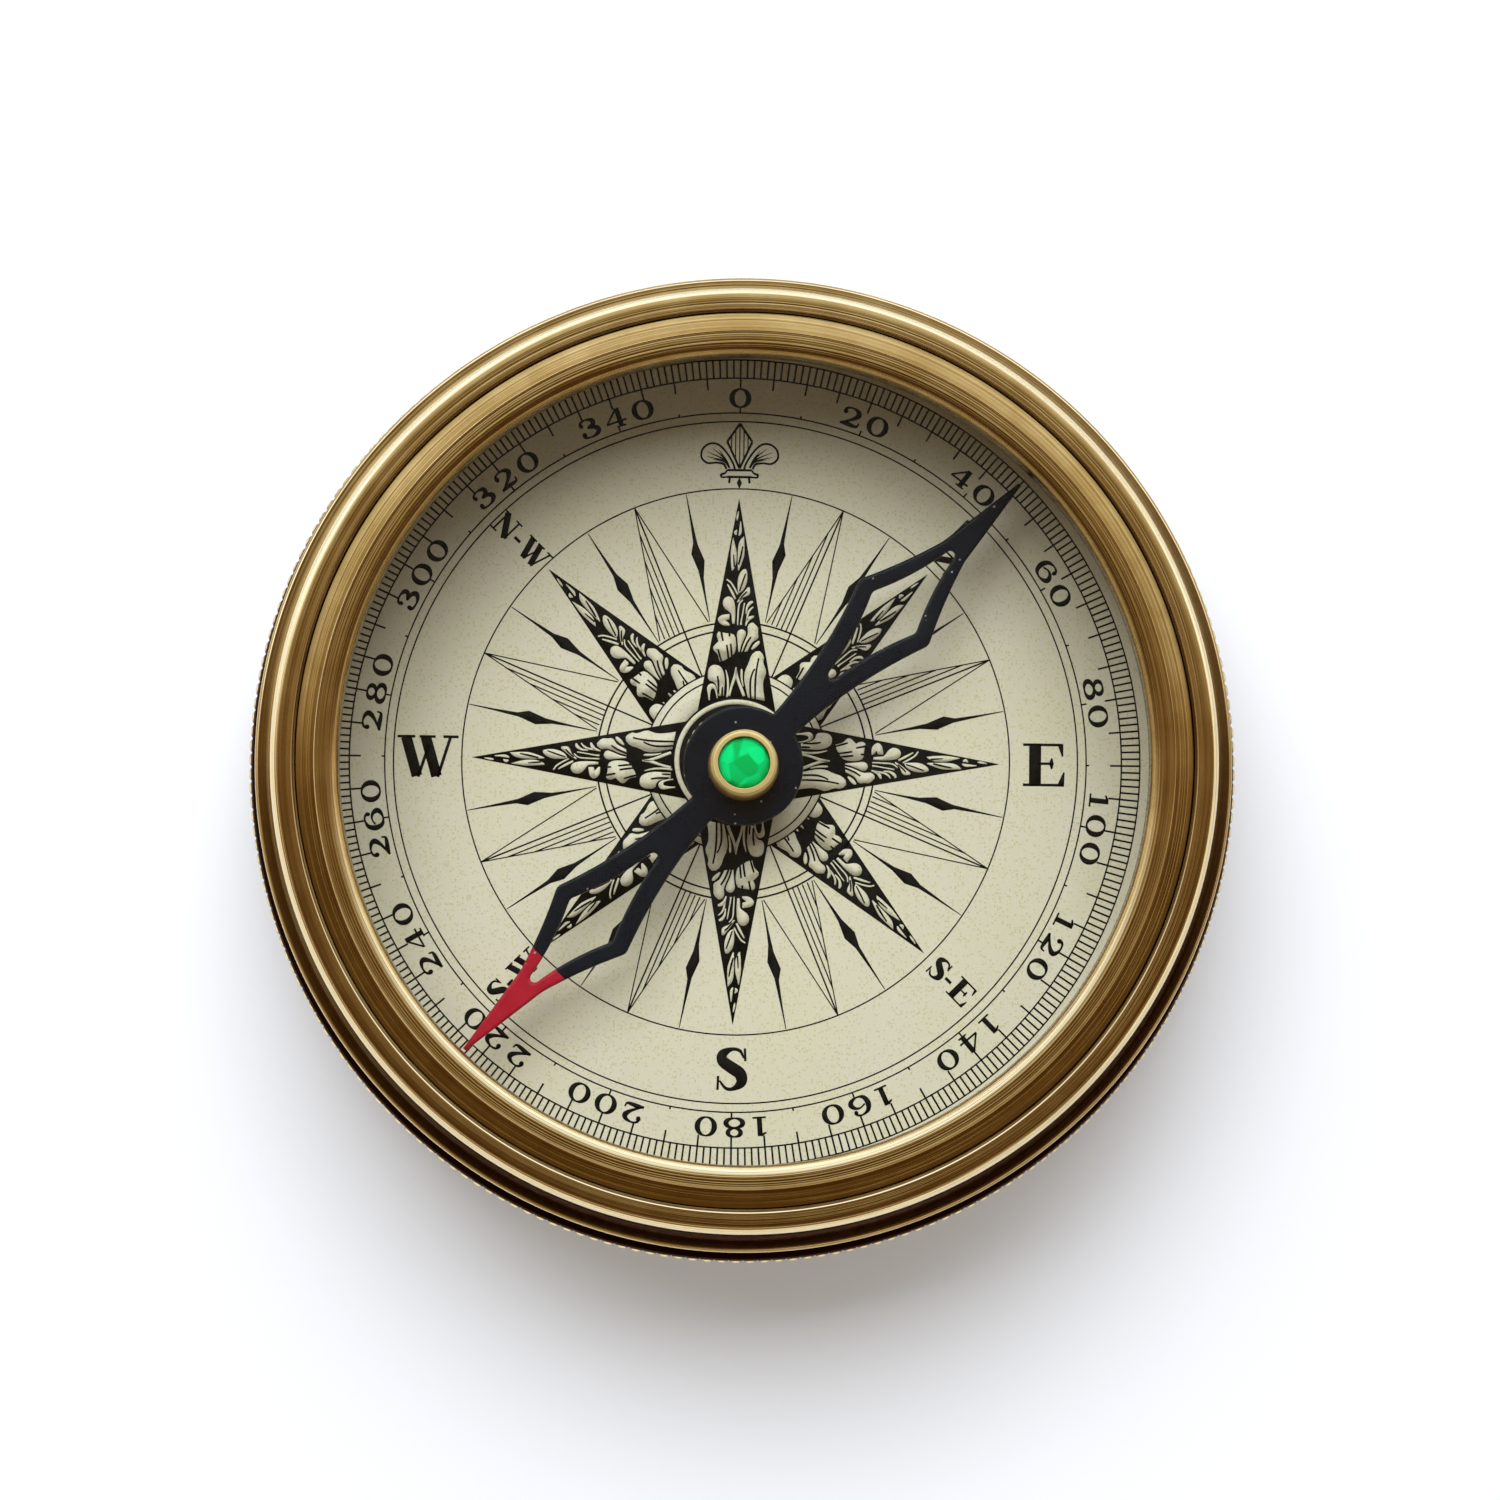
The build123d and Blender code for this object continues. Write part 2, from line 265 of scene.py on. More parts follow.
# %% Mesh helper
def put_mesh(name, points, faces, marks=None, smooth=30.0):
    """Copies arrays of points in millimetres and of four-sided faces into a closed mesh object."""
    mesh = bpy.data.meshes.new(name)
    mesh.vertices.add(len(points))
    mesh.vertices.foreach_set("co", (np.asarray(points) * mm).astype(np.float32).ravel())
    mesh.loops.add(faces.size)
    mesh.loops.foreach_set("vertex_index", faces.astype(np.int32).ravel())
    mesh.polygons.add(len(faces))
    mesh.polygons.foreach_set("loop_start", np.arange(0, faces.size, 4, dtype=np.int32))
    mesh.update(calc_edges=True)
    for key, values in (marks or {}).items():
        mark = mesh.attributes.new(key, "FLOAT", "POINT")
        mark.data.foreach_set("value", np.asarray(values, np.float32).ravel())
    work = bmesh.new()
    work.from_mesh(mesh)
    bmesh.ops.remove_doubles(work, verts=work.verts, dist=1e-8)
    bmesh.ops.dissolve_degenerate(work, edges=work.edges, dist=1e-9)
    work.to_mesh(mesh)
    work.free()
    if smooth:
        mesh.shade_smooth()
        mesh.set_sharp_from_angle(angle=math.radians(smooth))
    piece = bpy.data.objects.new(name, mesh)
    bpy.context.scene.collection.objects.link(piece)
    return piece


def dress(piece, finish, body, slot, *replaced):
    """Gives a piece its material, the body it moves with and the solids it stands for; the slot is not
    used.
    """
    piece.data.materials.clear()
    piece.data.materials.append(finish)
    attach(piece, body)
    if replaced:
        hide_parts(*replaced)
    print(piece.name, "rides on", body, "with", len(piece.data.polygons), "faces")


print("mesh helpers ready")

# %% [markdown]
# The floor is a plain pale sheet. It is a grid with its far edges bent up a little, so that low views
# meet a soft horizon and not a hard line. The camera sees a little white added to it, in mirrors and
# through glass too, which keeps the background clean and leaves the shadow under the case.

# %% Floor
floor_half = 3000.0
floor_steps = 41
floor_rise = 900.0
floor_drop = 0.01
floor_white = 0.2
span = np.linspace(-1.0, 1.0, floor_steps)
east, north = np.meshgrid(span, span)
bent_up = floor_rise * np.clip(np.hypot(east, north) - 0.5, 0.0, None) ** 2
floor_points = np.stack([east * floor_half, north * floor_half, bent_up - floor_drop], -1).reshape(-1, 3)
cell = np.arange(floor_steps * floor_steps).reshape(floor_steps, floor_steps)
floor_faces = np.stack([cell[:-1, :-1], cell[:-1, 1:], cell[1:, 1:], cell[1:, :-1]], -1).reshape(-1, 4)
floor = put_mesh("floor", floor_points, floor_faces)
pale_floor, tree, shader = new_finish("pale_floor", {
    "Base Color": (0.65, 0.66, 0.675, 1),
    "Roughness": 0.7,
    "Specular IOR Level": 0.2,
})
ray = place(tree, "ShaderNodeLightPath").outputs
seen = math_of(tree, "MAXIMUM", ray["Is Glossy Ray"], ray["Is Transmission Ray"])
seen = math_of(tree, "MAXIMUM", ray["Is Camera Ray"], seen)
white = {"Color": (1, 1, 1, 1), "Strength": math_of(tree, "MULTIPLY", seen, floor_white)}
added_white = place(tree, "ShaderNodeEmission", None, white).outputs[0]
lit_floor = tree.nodes["Principled BSDF"].outputs[0]
floor_sum = place(tree, "ShaderNodeAddShader", None, {0: lit_floor, 1: added_white}).outputs[0]
tree.links.new(floor_sum, tree.nodes["Material Output"].inputs["Surface"])
floor.data.materials.append(pale_floor)
print("floor", floor_half * 2 * mm, "m wide")

# %% [markdown]
# Turned brass is never plain. The tool leaves rings, old lacquer stays brown in the corners, and hands
# rub the edges bright; on the bezel and the glass ring some of that brown is painted shade and some of
# that brightness painted highlight. Each of these is a node group, built once and placed in every
# material that needs it. A group only gives out masks and heights. The shader itself stays in the
# material.

# %% Group: rings left by the turning tool
def new_group(name, inputs, outputs):
    """An empty shader group with named float inputs (with defaults) and float outputs."""
    group = bpy.data.node_groups.new(name, "ShaderNodeTree")
    for key, value in inputs.items():
        socket = group.interface.new_socket(key, in_out="INPUT", socket_type="NodeSocketFloat")
        socket.default_value = value
    for key in outputs:
        group.interface.new_socket(key, in_out="OUTPUT", socket_type="NodeSocketFloat")
    return group, group.nodes.new("NodeGroupInput").outputs, group.nodes.new("NodeGroupOutput").inputs


def noise_of(tree, vector, scale, detail, roughness):
    """The grey value of a noise texture read at a vector."""
    inputs = {"Vector": vector, "Scale": scale, "Detail": detail, "Roughness": roughness}
    return place(tree, "ShaderNodeTexNoise", None, inputs).outputs[0]


def spread_of(tree, value, low, high):
    """Stretches the range low to high of a value over 0 to 1, and clips it there."""
    return place(tree, "ShaderNodeMapRange", None, {0: value, 1: low, 2: high}).outputs[0]


ring_inputs = {"Fineness": 5000.0, "Waver": 0.35}
turned_rings, given, wanted = new_group("turned_rings", ring_inputs, ["Height", "Tint"])
where = place(turned_rings, "ShaderNodeTexCoord").outputs["Object"]
axes = place(turned_rings, "ShaderNodeSeparateXYZ", None, {0: where}).outputs
outward = place(turned_rings, "ShaderNodeCombineXYZ", None, {0: axes["X"], 1: axes["Y"]}).outputs[0]
off_axis = vector_of(turned_rings, "LENGTH", outward)["Value"]
heading = vector_of(turned_rings, "NORMALIZE", outward)[0]
heading = place(turned_rings, "ShaderNodeSeparateXYZ", None, {0: heading}).outputs
drift = math_of(turned_rings, "ADD", heading["X"], heading["Y"])
ring_key = {
    0: math_of(turned_rings, "MULTIPLY", off_axis, given["Fineness"]),
    1: math_of(turned_rings, "MULTIPLY", drift, given["Waver"]),
    2: math_of(turned_rings, "MULTIPLY", axes["Z"], given["Fineness"]),
}
ring_where = place(turned_rings, "ShaderNodeCombineXYZ", None, ring_key).outputs[0]
for output, scale in (("Height", 1.0), ("Tint", 0.45)):
    turned_rings.links.new(noise_of(turned_rings, ring_where, scale, 3.0, 0.6), wanted[output])
print("group", turned_rings.name)

# %% Groups: blotches and specks
blotches, given, wanted = new_group("blotches", {"Scale": 300.0, "Low": 0.4, "High": 0.6}, ["Mask"])
where = place(blotches, "ShaderNodeTexCoord").outputs["Object"]
cloud = noise_of(blotches, where, given["Scale"], 5.0, 0.62)
blotches.links.new(spread_of(blotches, cloud, given["Low"], given["High"]), wanted["Mask"])

specks, given, wanted = new_group("specks", {"Scale": 900.0, "Size": 0.1, "Share": 0.3}, ["Mask"])
where = place(specks, "ShaderNodeTexCoord").outputs["Object"]
cells = place(specks, "ShaderNodeTexVoronoi", None, {"Vector": where, "Scale": given["Scale"]})
inside = math_of(specks, "LESS_THAN", cells.outputs["Distance"], given["Size"])
chance = place(specks, "ShaderNodeSeparateColor", None, {0: cells.outputs["Color"]}).outputs[0]
chosen = math_of(specks, "LESS_THAN", chance, given["Share"])
specks.links.new(math_of(specks, "MULTIPLY", inside, chosen), wanted["Mask"])
print("groups", blotches.name, specks.name)

# %% [markdown]
# Two brasses come from one recipe. The case and bezel are antique brass: a warm metal with brown
# patina in the hollows and bright rubbed corners. On the bezel and the glass ring some of that brown is
# painted shade and some of that brightness is painted highlight. The cap, the post and the nut are plain
# brass with faint rings only. It is only half a mirror, because so small a cap would show little but the
# dark room. The attributes for rubbing and grime, which each turned piece carries, say where the corners
# and the hollows are, and where highlight and shade are painted.

# %% Brass recipe
def group_in(tree, group, **inputs):
    """Places a node group in a tree with its own values."""
    made = place(tree, "ShaderNodeGroup", {"node_tree": group})
    for key, value in inputs.items():
        made.inputs[key].default_value = value
    return made.outputs


def attribute_of(tree, name):
    """The number that each point of a piece carries under a name."""
    return place(tree, "ShaderNodeAttribute", {"attribute_name": name}).outputs["Fac"]


def bump_of(tree, strength, distance, height):
    """The normal that a Bump node makes from a height."""
    inputs = {"Strength": strength, "Distance": distance, "Height": height}
    return place(tree, "ShaderNodeBump", None, inputs).outputs[0]


def brass(name, metal, shade, patina_and_shade, bright, ring_depth, ring_fineness, roughness, metallic):
    """Brass: metal turning to shade in blotches and rings, patina in hollows and painted shade, bright on
    rubbed edges and painted highlights.
    """
    finish, tree, shader = new_finish(name, {"Metallic": metallic})
    rings = group_in(tree, turned_rings, Fineness=ring_fineness)
    cloud = group_in(tree, blotches, Scale=260.0, Low=0.38, High=0.68)["Mask"]
    fine_cloud = group_in(tree, blotches, Scale=2600.0, Low=0.35, High=0.7)["Mask"]
    ring_tint = spread_of(tree, rings["Tint"], 0.38, 0.62)
    worn = math_of(tree, "MULTIPLY_ADD", cloud, 0.35, math_of(tree, "MULTIPLY", ring_tint, 0.65))
    colour = mix_of(tree, worn, shade, metal)
    # Darker towards the patina colour where the grime mark is high: real patina in hollows, and painted
    # shade on the bezel's skirt, its south south east side and the glass ring's north bevel.
    hollow_and_shade = math_of(tree, "MULTIPLY_ADD", fine_cloud, -0.08, attribute_of(tree, "grime_and_shade"))
    colour = mix_of(tree, spread_of(tree, hollow_and_shade, 0.05, 0.85), colour, patina_and_shade)
    # Brighter where the rubbed mark is high: real wear on corners and tooth tips, and painted highlight on
    # the rim's round, the tops of the teeth and the glass ring's south bevel and west side.
    edge = math_of(tree, "MULTIPLY_ADD", ring_tint, 0.35, attribute_of(tree, "rubbed_and_highlit"))
    edge = spread_of(tree, edge, 0.5, 1.1)
    uneven = math_of(tree, "MULTIPLY_ADD", rings["Height"], 0.12, roughness - 0.06)
    uneven = math_of(tree, "SUBTRACT", uneven, math_of(tree, "MULTIPLY", edge, 0.05))
    tooled = bump_of(tree, ring_depth, 0.00006, rings["Height"])
    wire(tree, shader, mix_of(tree, edge, colour, bright), uneven, tooled)
    return finish


print("brass recipe ready")

# %% Two brasses
antique_brass = brass(
    "antique_brass",
    metal=(0.465, 0.325, 0.124),
    shade=(0.265, 0.152, 0.038),
    patina_and_shade=(0.035, 0.014, 0.009),
    bright=(0.85, 0.71, 0.43),
    ring_depth=1.0,
    ring_fineness=5200.0,
    roughness=0.2,
    metallic=1.0,
)
plain_brass = brass(
    "plain_brass",
    metal=(0.86, 0.60, 0.23),
    shade=(0.70, 0.45, 0.15),
    patina_and_shade=(0.25, 0.14, 0.05),
    bright=(0.96, 0.76, 0.36),
    ring_depth=0.2,
    ring_fineness=9000.0,
    roughness=0.4,
    metallic=0.45,
)
print("finishes", antique_brass.name, plain_brass.name)

# %% [markdown]
# A lathe turns a profile into a ring, and numpy does the same: one outer product turns all profile
# points through all angles. The profile is a closed loop that runs up the outside and down the inside,
# so that the faces point outwards. Real turned corners are never knife sharp, so each corner is cut
# back a little and rounded, and the same step marks it as rubbed if it stands out.

# %% Lathe helper
def softened(corners, steps=4):
    """Rounds the corners of a closed profile.

    Each corner row is radius, height, cut and grime mark, and may end with how rubbed it is. A corner with
    a cut becomes a small curve between the points that lie the cut away along both sides: the parabola
    that starts and ends along the sides. The rows that come back are radius, height, rubbed mark and grime
    mark; the grime mark also holds painted shade and the rubbed mark painted highlight.
    """
    rows = []
    count = len(corners)
    for i, (radius, height, cut, grime_and_shade, *worn) in enumerate(corners):
        corner = np.array([radius, height])
        if cut == 0:
            rows.append(np.array([[radius, height, sum(worn), grime_and_shade]]))
            continue
        before = np.array(corners[i - 1][:2]) - corner
        after = np.array(corners[(i + 1) % count][:2]) - corner
        room_before, room_after = np.hypot(*before), np.hypot(*after)
        before, after = before / room_before, after / room_after
        t = np.linspace(0.0, 1.0, steps)[:, None]
        bend = corner + before * cut * (1 - t) ** 2 + after * cut * t ** 2
        stands_out = before[0] * after[1] - before[1] * after[0] < 0
        rubbed_and_highlit = np.where(stands_out, 1.0, -1.0) * (0.4 + 2.4 * t * (1 - t))
        rows_here = [np.hstack([bend, rubbed_and_highlit, np.full_like(t, grime_and_shade)])]
        if room_before > 4 * cut:
            lead_in = corner + before * cut * 1.7
            rows_here.insert(0, np.array([[*lead_in, 0.0, grime_and_shade]]))
        if room_after > 4 * cut:
            lead_out = corner + after * cut * 1.7
            rows_here.append(np.array([[*lead_out, 0.0, grime_and_shade]]))
        rows += rows_here
    return np.vstack(rows)


def arc_rows(centre, radius, start, end, steps, grime_and_shade=0.0, rubbed_and_highlit=0.0):
    """Corner rows along a circular arc from one angle to another, in degrees, with no further rounding."""
    angle = np.radians(np.linspace(start, end, steps))
    rows = np.zeros((steps, 5))
    rows[:, 0] = centre[0] + radius * np.cos(angle)
    rows[:, 1] = centre[1] + radius * np.sin(angle)
    rows[:, 3] = grime_and_shade
    rows[:, 4] = rubbed_and_highlit
    return rows.tolist()


def equal_turns(segments):
    """Angles at equal shares of a full turn, in radians."""
    return np.linspace(0.0, 2.0 * math.pi, segments, endpoint=False)


def turned(profile, segments, radii=None):
    """Points, faces and marks of a profile turned about Z.

    Point (i, k) is profile point k at the i-th equal share of a turn; radii may give each its own radius.
    """
    turn = equal_turns(segments)
    radius = np.broadcast_to(profile[:, 0], (segments, len(profile))) if radii is None else radii(turn)
    height = np.broadcast_to(profile[:, 1], radius.shape)
    points = np.stack([radius * np.cos(turn)[:, None], radius * np.sin(turn)[:, None], height], -1)
    index = np.arange(radius.size).reshape(radius.shape)
    step = np.roll(index, -1, axis=0)
    faces = np.stack([index, step, np.roll(step, -1, axis=1), np.roll(index, -1, axis=1)], -1)
    marks = {key: np.broadcast_to(profile[:, k], radius.shape) for key, k in (("rubbed_and_highlit", 2), ("grime_and_shade", 3))}
    return points.reshape(-1, 3), faces.reshape(-1, 4), marks


print("lathe ready")

# %% [markdown]
# The case is a cup with a screw thread round its neck. Most of it hides under the bezel until that is
# unscrewed. The thread is cut into the same surface: the neck's radius falls and rises with height,
# and one full turn shifts the pattern by one pitch, which is what makes it a helix.

# %% Case body
case_radius = radius_of("case_body")
neck_radius = 35.4
chamber_radius = 33.2
ledge_radius = 31.5
foot_bore = 31.0
foot_lift = 0.3
foot_bevel = 0.8
edge_bevel = 0.25
cup_floor = 2.0
groove_bottom = 6.6
groove_top = 7.2
groove_depth = 0.25
shoulder = height_of("bezel_ring")[0]
plate_bottom = height_of("dial_plate")[0]
thread_pitch = 1.0
thread_depth = 0.28
thread_start = shoulder + 0.5
thread_end = case_top - 0.55

case_corners = [
    (0.0, foot_lift, 0, 0.3),
    (foot_bore, foot_lift, 0.08, 0.6),
    (foot_bore, 0.0, 0.08, 0.2),
    (case_radius - foot_bevel, 0.0, 0.12, 0.0),
    (case_radius, foot_bevel, 0.2, 0.0),
    (case_radius, shoulder - edge_bevel, 0.07, 0.15),
    (case_radius - edge_bevel, shoulder, 0.07, 0.4),
    (neck_radius, shoulder, 0, 0.9),
]
case_corners += [(neck_radius, z, 0, 0.35) for z in np.arange(thread_start, thread_end, thread_pitch / 8)]
case_corners += [
    (neck_radius, case_top - 0.3, 0.08, 0.0),
    (neck_radius - 0.3, case_top, 0.08, 0.0),
    (chamber_radius, case_top, 0.1, 0.0),
    (chamber_radius, groove_top + 0.13, 0.05, 0.3),
    (chamber_radius + groove_depth, groove_top, 0, 0.7),
    (chamber_radius + groove_depth, groove_bottom, 0, 0.7),
    (chamber_radius, card_top, 0.0, 0.5),
    (chamber_radius, plate_bottom, 0, 0.5),
    (ledge_radius, plate_bottom, 0.1, 0.3),
    (ledge_radius, cup_floor, 0.3, 0.6),
    (0.0, cup_floor, 0, 0.4),
]
case_profile = softened(case_corners)


def case_radii(turn):
    """Profile radius, less a triangle wave of height minus one pitch per turn on the threaded stretch."""
    radius, height = case_profile[:, 0], case_profile[:, 1]
    on_neck = (np.abs(radius - neck_radius) < 1e-6) & (height > thread_start - 0.01) & (height < thread_end)
    fade = np.clip(np.minimum(height - thread_start, thread_end - height) / 0.4, 0.0, 1.0) * on_neck
    phase = (height[None, :] / thread_pitch - turn[:, None] / (2 * math.pi)) % 1.0
    return radius[None, :] - thread_depth * fade * (1.0 - np.abs(2.0 * phase - 1.0))


case_shell = put_mesh("turned_case", *turned(case_profile, 360, case_radii))
dress(case_shell, antique_brass, "case", "antique_brass", "case_body")

# %% [markdown]
# The bezel is the ring that the fingers turn: a knurled skirt, a smooth wall, a coved step and a rounded
# rim. The knurl is 216 small teeth. Four points to a tooth are enough for tip, flank, root and flank,
# so the whole ring is one grid and stays light. Fingers keep the tooth tips bright, and the upper ends
# of the tips are brighter still as painted highlight. The skirt between the teeth is dark with dirt and
# painted shade, the rim's round has a bright band all round that is wear and painted highlight, and
# painted shade darkens the bezel towards the south south east.

# %% Bezel ring: profile
knurl_count = 216
knurl_depth = 0.2
knurl_top = shoulder + 3.3
wall_radius = 37.2
ledge_height = 15.6
rim_wall = 35.8
cove = 0.8
rim_round = 0.9
rim_top = height_of("bezel_ring")[1]
rim_bore = 33.9
bezel_bore = 35.45
seat_bore = 31.8
seat_top = 15.4
seat_bottom = 14.4

bezel_corners = [
    (bezel_bore, shoulder, 0, 0.5),
    (knurl_tip - 0.3, shoulder, 0, 0.3),
    (knurl_tip, shoulder + 0.3, 0, 0.5),
    (knurl_tip, knurl_top - 0.3, 0, 0.5),
    (knurl_tip - 0.1, knurl_top - 0.2, 0, 0.5),
    (knurl_tip - 0.2, knurl_top - 0.1, 0, 0.6),
    (knurl_tip - 0.3, knurl_top, 0, 0.6),
    # The ledge over the knurl and the cove under the rim carry heavy grime: patina in these hollows, and
    # painted shade.
    (wall_radius, knurl_top, 0, 0.95),
    (wall_radius, knurl_top + 0.4, 0, 0.5),
    (wall_radius, ledge_height - 0.2, 0.06, 0.1),
    (wall_radius - 0.2, ledge_height, 0.06, 0.2),
    (wall_radius - 0.34, ledge_height, 0, 0.75),
]
bezel_corners += arc_rows((rim_wall + cove, ledge_height + cove), cove, 270.0, 180.0, 9, 0.85)
bezel_corners += [(rim_wall, rim_top - rim_round - 0.5, 0, 0.3)]
rim_steps = 20
# The outer part of the rim's round is marked bright all round: rubbed wear and a painted highlight band.
rim_wear_and_highlight = 0.8 * np.clip(np.linspace(4.1, 0.0, rim_steps) - 0.4, 0.0, 1.0)
rim_middle = (rim_wall - rim_round, rim_top - rim_round)
bezel_corners += arc_rows(rim_middle, rim_round, 0.0, 90.0, rim_steps, 0.0, rim_wear_and_highlight)
bezel_corners += [
    (rim_bore + 0.25, rim_top, 0.06, 0.1),
    (rim_bore, rim_top - 0.25, 0.06, 0.7),
    (rim_bore, seat_top, 0, 0.8),
    (seat_bore, seat_top, 0, 0.3),
    (seat_bore, seat_bottom, 0, 0.3),
    (bezel_bore, seat_bottom, 0, 0.3),
]
bezel_profile = softened(bezel_corners)
on_skirt = (bezel_profile[:, 0] > wall_radius + 0.1) & (bezel_profile[:, 1] < knurl_top + 0.01)
print("bezel profile:", len(bezel_profile), "points,", on_skirt.sum(), "of them on the knurl")

# %% Bezel ring: knurl and wear
def tooth_wave(turn):
    """How far below its tip a tooth is, from 0 to 1: the cube of a raised cosine leaves broad tips."""
    return (0.5 + 0.5 * np.cos(turn * knurl_count)) ** 3


def bezel_radii(turn):
    """Profile radius, held back on the skirt to the tooth wave: a round tip and a narrow groove."""
    radius = bezel_profile[None, :, 0]
    limit = knurl_tip - knurl_depth * tooth_wave(turn)
    return np.where(on_skirt[None, :], np.minimum(radius, limit[:, None]), radius)


def bezel_marks(turn):
    """Rubbed and grime marks: tooth tips bright, their upper ends most as painted highlight, the skirt dark
    with dirt and painted shade, and painted shade heaviest in the south south east.
    """
    radius, height, rubbed_and_highlit, grime_and_shade = bezel_profile.T
    on_tip = on_skirt & (radius > knurl_tip - 0.15)
    tip = 1.0 - tooth_wave(turn)
    # Tips near the top of the knurl get full brightness, lower ones 0.6: wear plus a painted highlight on
    # the upper edge.
    polish = np.where(height > knurl_top - 0.25, 1.0, 0.6)
    # Grime is scaled by bearing so that the south south east comes out darker: painted shade.
    south_shade = np.clip(0.6 + 0.6 * np.cos(turn + math.radians(75.0)), 0.12, 1.0)
    marked = np.where(on_tip[None, :], tip[:, None] * polish, np.where(on_skirt, 0.0, rubbed_and_highlit)[None, :])
    # On the skirt everything but the tooth tips is nearly full grime: dirt in the grooves and painted
    # shade.
    dirt_and_shade = np.where(on_skirt[None, :], 0.95 - 0.85 * on_tip * tip[:, None], grime_and_shade * south_shade[:, None])
    return {"rubbed_and_highlit": marked, "grime_and_shade": dirt_and_shade}


bezel_points, bezel_faces, _ = turned(bezel_profile, knurl_count * 4, bezel_radii)
bezel = put_mesh("knurled_bezel", bezel_points, bezel_faces, bezel_marks(equal_turns(knurl_count * 4)))
dress(bezel, antique_brass, "bezel", "antique_brass", "bezel_ring")

# %% [markdown]
# A flat ring is screwed in over the glass, with a rounded bevel inside and a sloping face outside. It is
# the broadest brass in the picture, so its tool marks are real geometry here: a few cut grooves and a
# fine ripple, thousandths of a millimetre deep. That is enough, because polished metal doubles every
# slope in what it reflects.

# %% Glass retaining ring: profile
ring_radius = radius_of("glass_retaining_ring")
sight_radius = 30.6
bevel_end = 31.6
flat_end = 32.4
ring_lip = glass_top + 1.4
ring_edge = ring_top - 0.55

slope_run = np.linspace(ring_radius - 0.04, flat_end, 52)
slope_height = ring_top - (ring_top - ring_edge) * (slope_run - flat_end) / (ring_radius - flat_end)
flat_run = np.linspace(flat_end, bevel_end, 30)[1:]
fall = np.linspace(0.0, 0.5 * math.pi, 46)[1:]
bevel_run = bevel_end - (bevel_end - sight_radius) * np.sin(fall)
bevel_height = ring_lip + (ring_top - ring_lip) * np.cos(fall)
ring_line = np.stack([
    np.concatenate([slope_run, flat_run, bevel_run]),
    np.concatenate([slope_height, np.full_like(flat_run, ring_top), bevel_height]),
], 1)
ring_run = np.concatenate([[0.0], np.cumsum(np.hypot(*np.diff(ring_line, axis=0).T))])
ridge_run = ring_run[len(slope_run) - 1]
ridge_bead = 0.018
ring_ripples = ((0.0022, 17.3, 0.0), (0.0018, 29.1, 1.0), (0.0012, 46.7, 2.0))
ring_grooves = (
    (0.62, 0.006), (1.05, 0.006), (1.30, 0.012), (1.72, 0.014), (1.86, 0.010),
    (2.02, 0.014), (2.24, 0.012), (2.52, 0.012), (2.74, 0.010), (3.05, 0.008),
)


def bell(run, middle, width):
    """A bell curve: e to the power of minus the squared distance from the middle, counted in widths."""
    return np.exp(-(((run - middle) / width) ** 2))


def tool_marks(run):
    """Height of the tool marks along the ring's profile: three sine ripples, narrow grooves and a bead."""
    ripple = sum(depth * np.sin(run * rate + start) for depth, rate, start in ring_ripples)
    grooves = sum(depth * bell(run, middle, 0.05) for middle, depth in ring_grooves)
    return ripple - grooves + ridge_bead * bell(run, ridge_run, 0.045)


slope = np.gradient(ring_line, axis=0)
slope /= np.hypot(slope[:, 0], slope[:, 1])[:, None]
outwards = np.stack([slope[:, 1], -slope[:, 0]], 1)
ring_line = ring_line + outwards * (tool_marks(ring_run) - ridge_bead)[:, None]
ring_line[:, 0] = np.maximum(ring_line[:, 0], sight_radius)
print("ring profile:", len(ring_line), "points over", round(ring_run[-1], 2), "mm")

# %% Glass retaining ring: surface
ring_segments = 480
bevel_highlight = 0.48
bevel_lightening = 0.3
ring_corners = [
    (ring_radius, glass_top, 0, 0.5),
    (ring_radius, ring_edge - 0.08, 0, 0.9),
]
on_bevel = np.clip((bevel_end - 0.1 - ring_line[:, 0]) / 0.15, 0.0, 1.0)
ring_rub = 0.8 * bell(ring_run, ridge_run, 0.05)
# Grime on the inner bevel is patina, and on its north side, which the south share below leaves dark,
# painted shade.
ring_corners += [(r, z, 0, 0.3 * bevel, rub) for (r, z), bevel, rub in zip(ring_line, on_bevel, ring_rub)]
ring_corners += [(sight_radius, glass_top, 0, 0.6)]
ring_profile = softened(ring_corners)
ring_points, ring_faces, ring_marks = turned(ring_profile, ring_segments)
ring_turn = equal_turns(ring_segments)
# These shares brighten the ring by bearing, as painted highlight: the inner bevel lighter and rubbed in the
# south, and the rubbed corners and ridge kept to the west.
south_highlight = np.clip(0.5 - 0.8 * np.sin(ring_turn), 0.0, 1.0)[:, None]
west_highlight = np.clip(0.45 - 0.7 * np.cos(ring_turn), 0.0, 1.0)[:, None]
bevel_row = np.concatenate([[0.0, 0.0], on_bevel, [0.0]])
ring_marks = {
    "rubbed_and_highlit": ring_marks["rubbed_and_highlit"] * west_highlight + bevel_highlight * bevel_row * south_highlight,
    "grime_and_shade": ring_marks["grime_and_shade"] - bevel_lightening * bevel_row * south_highlight,
}
retaining_ring = put_mesh("sight_ring", ring_points, ring_faces, ring_marks)
dress(retaining_ring, antique_brass, "bezel", "antique_brass", "glass_retaining_ring")

# %% [markdown]
# The glass is the CAD disc itself with a clear material. Light from a lamp has to pass it to reach the
# dial, and a path tracer finds such paths badly, so shadow rays see a plain transparent surface.
# The packing ring under it is matt black rubber.

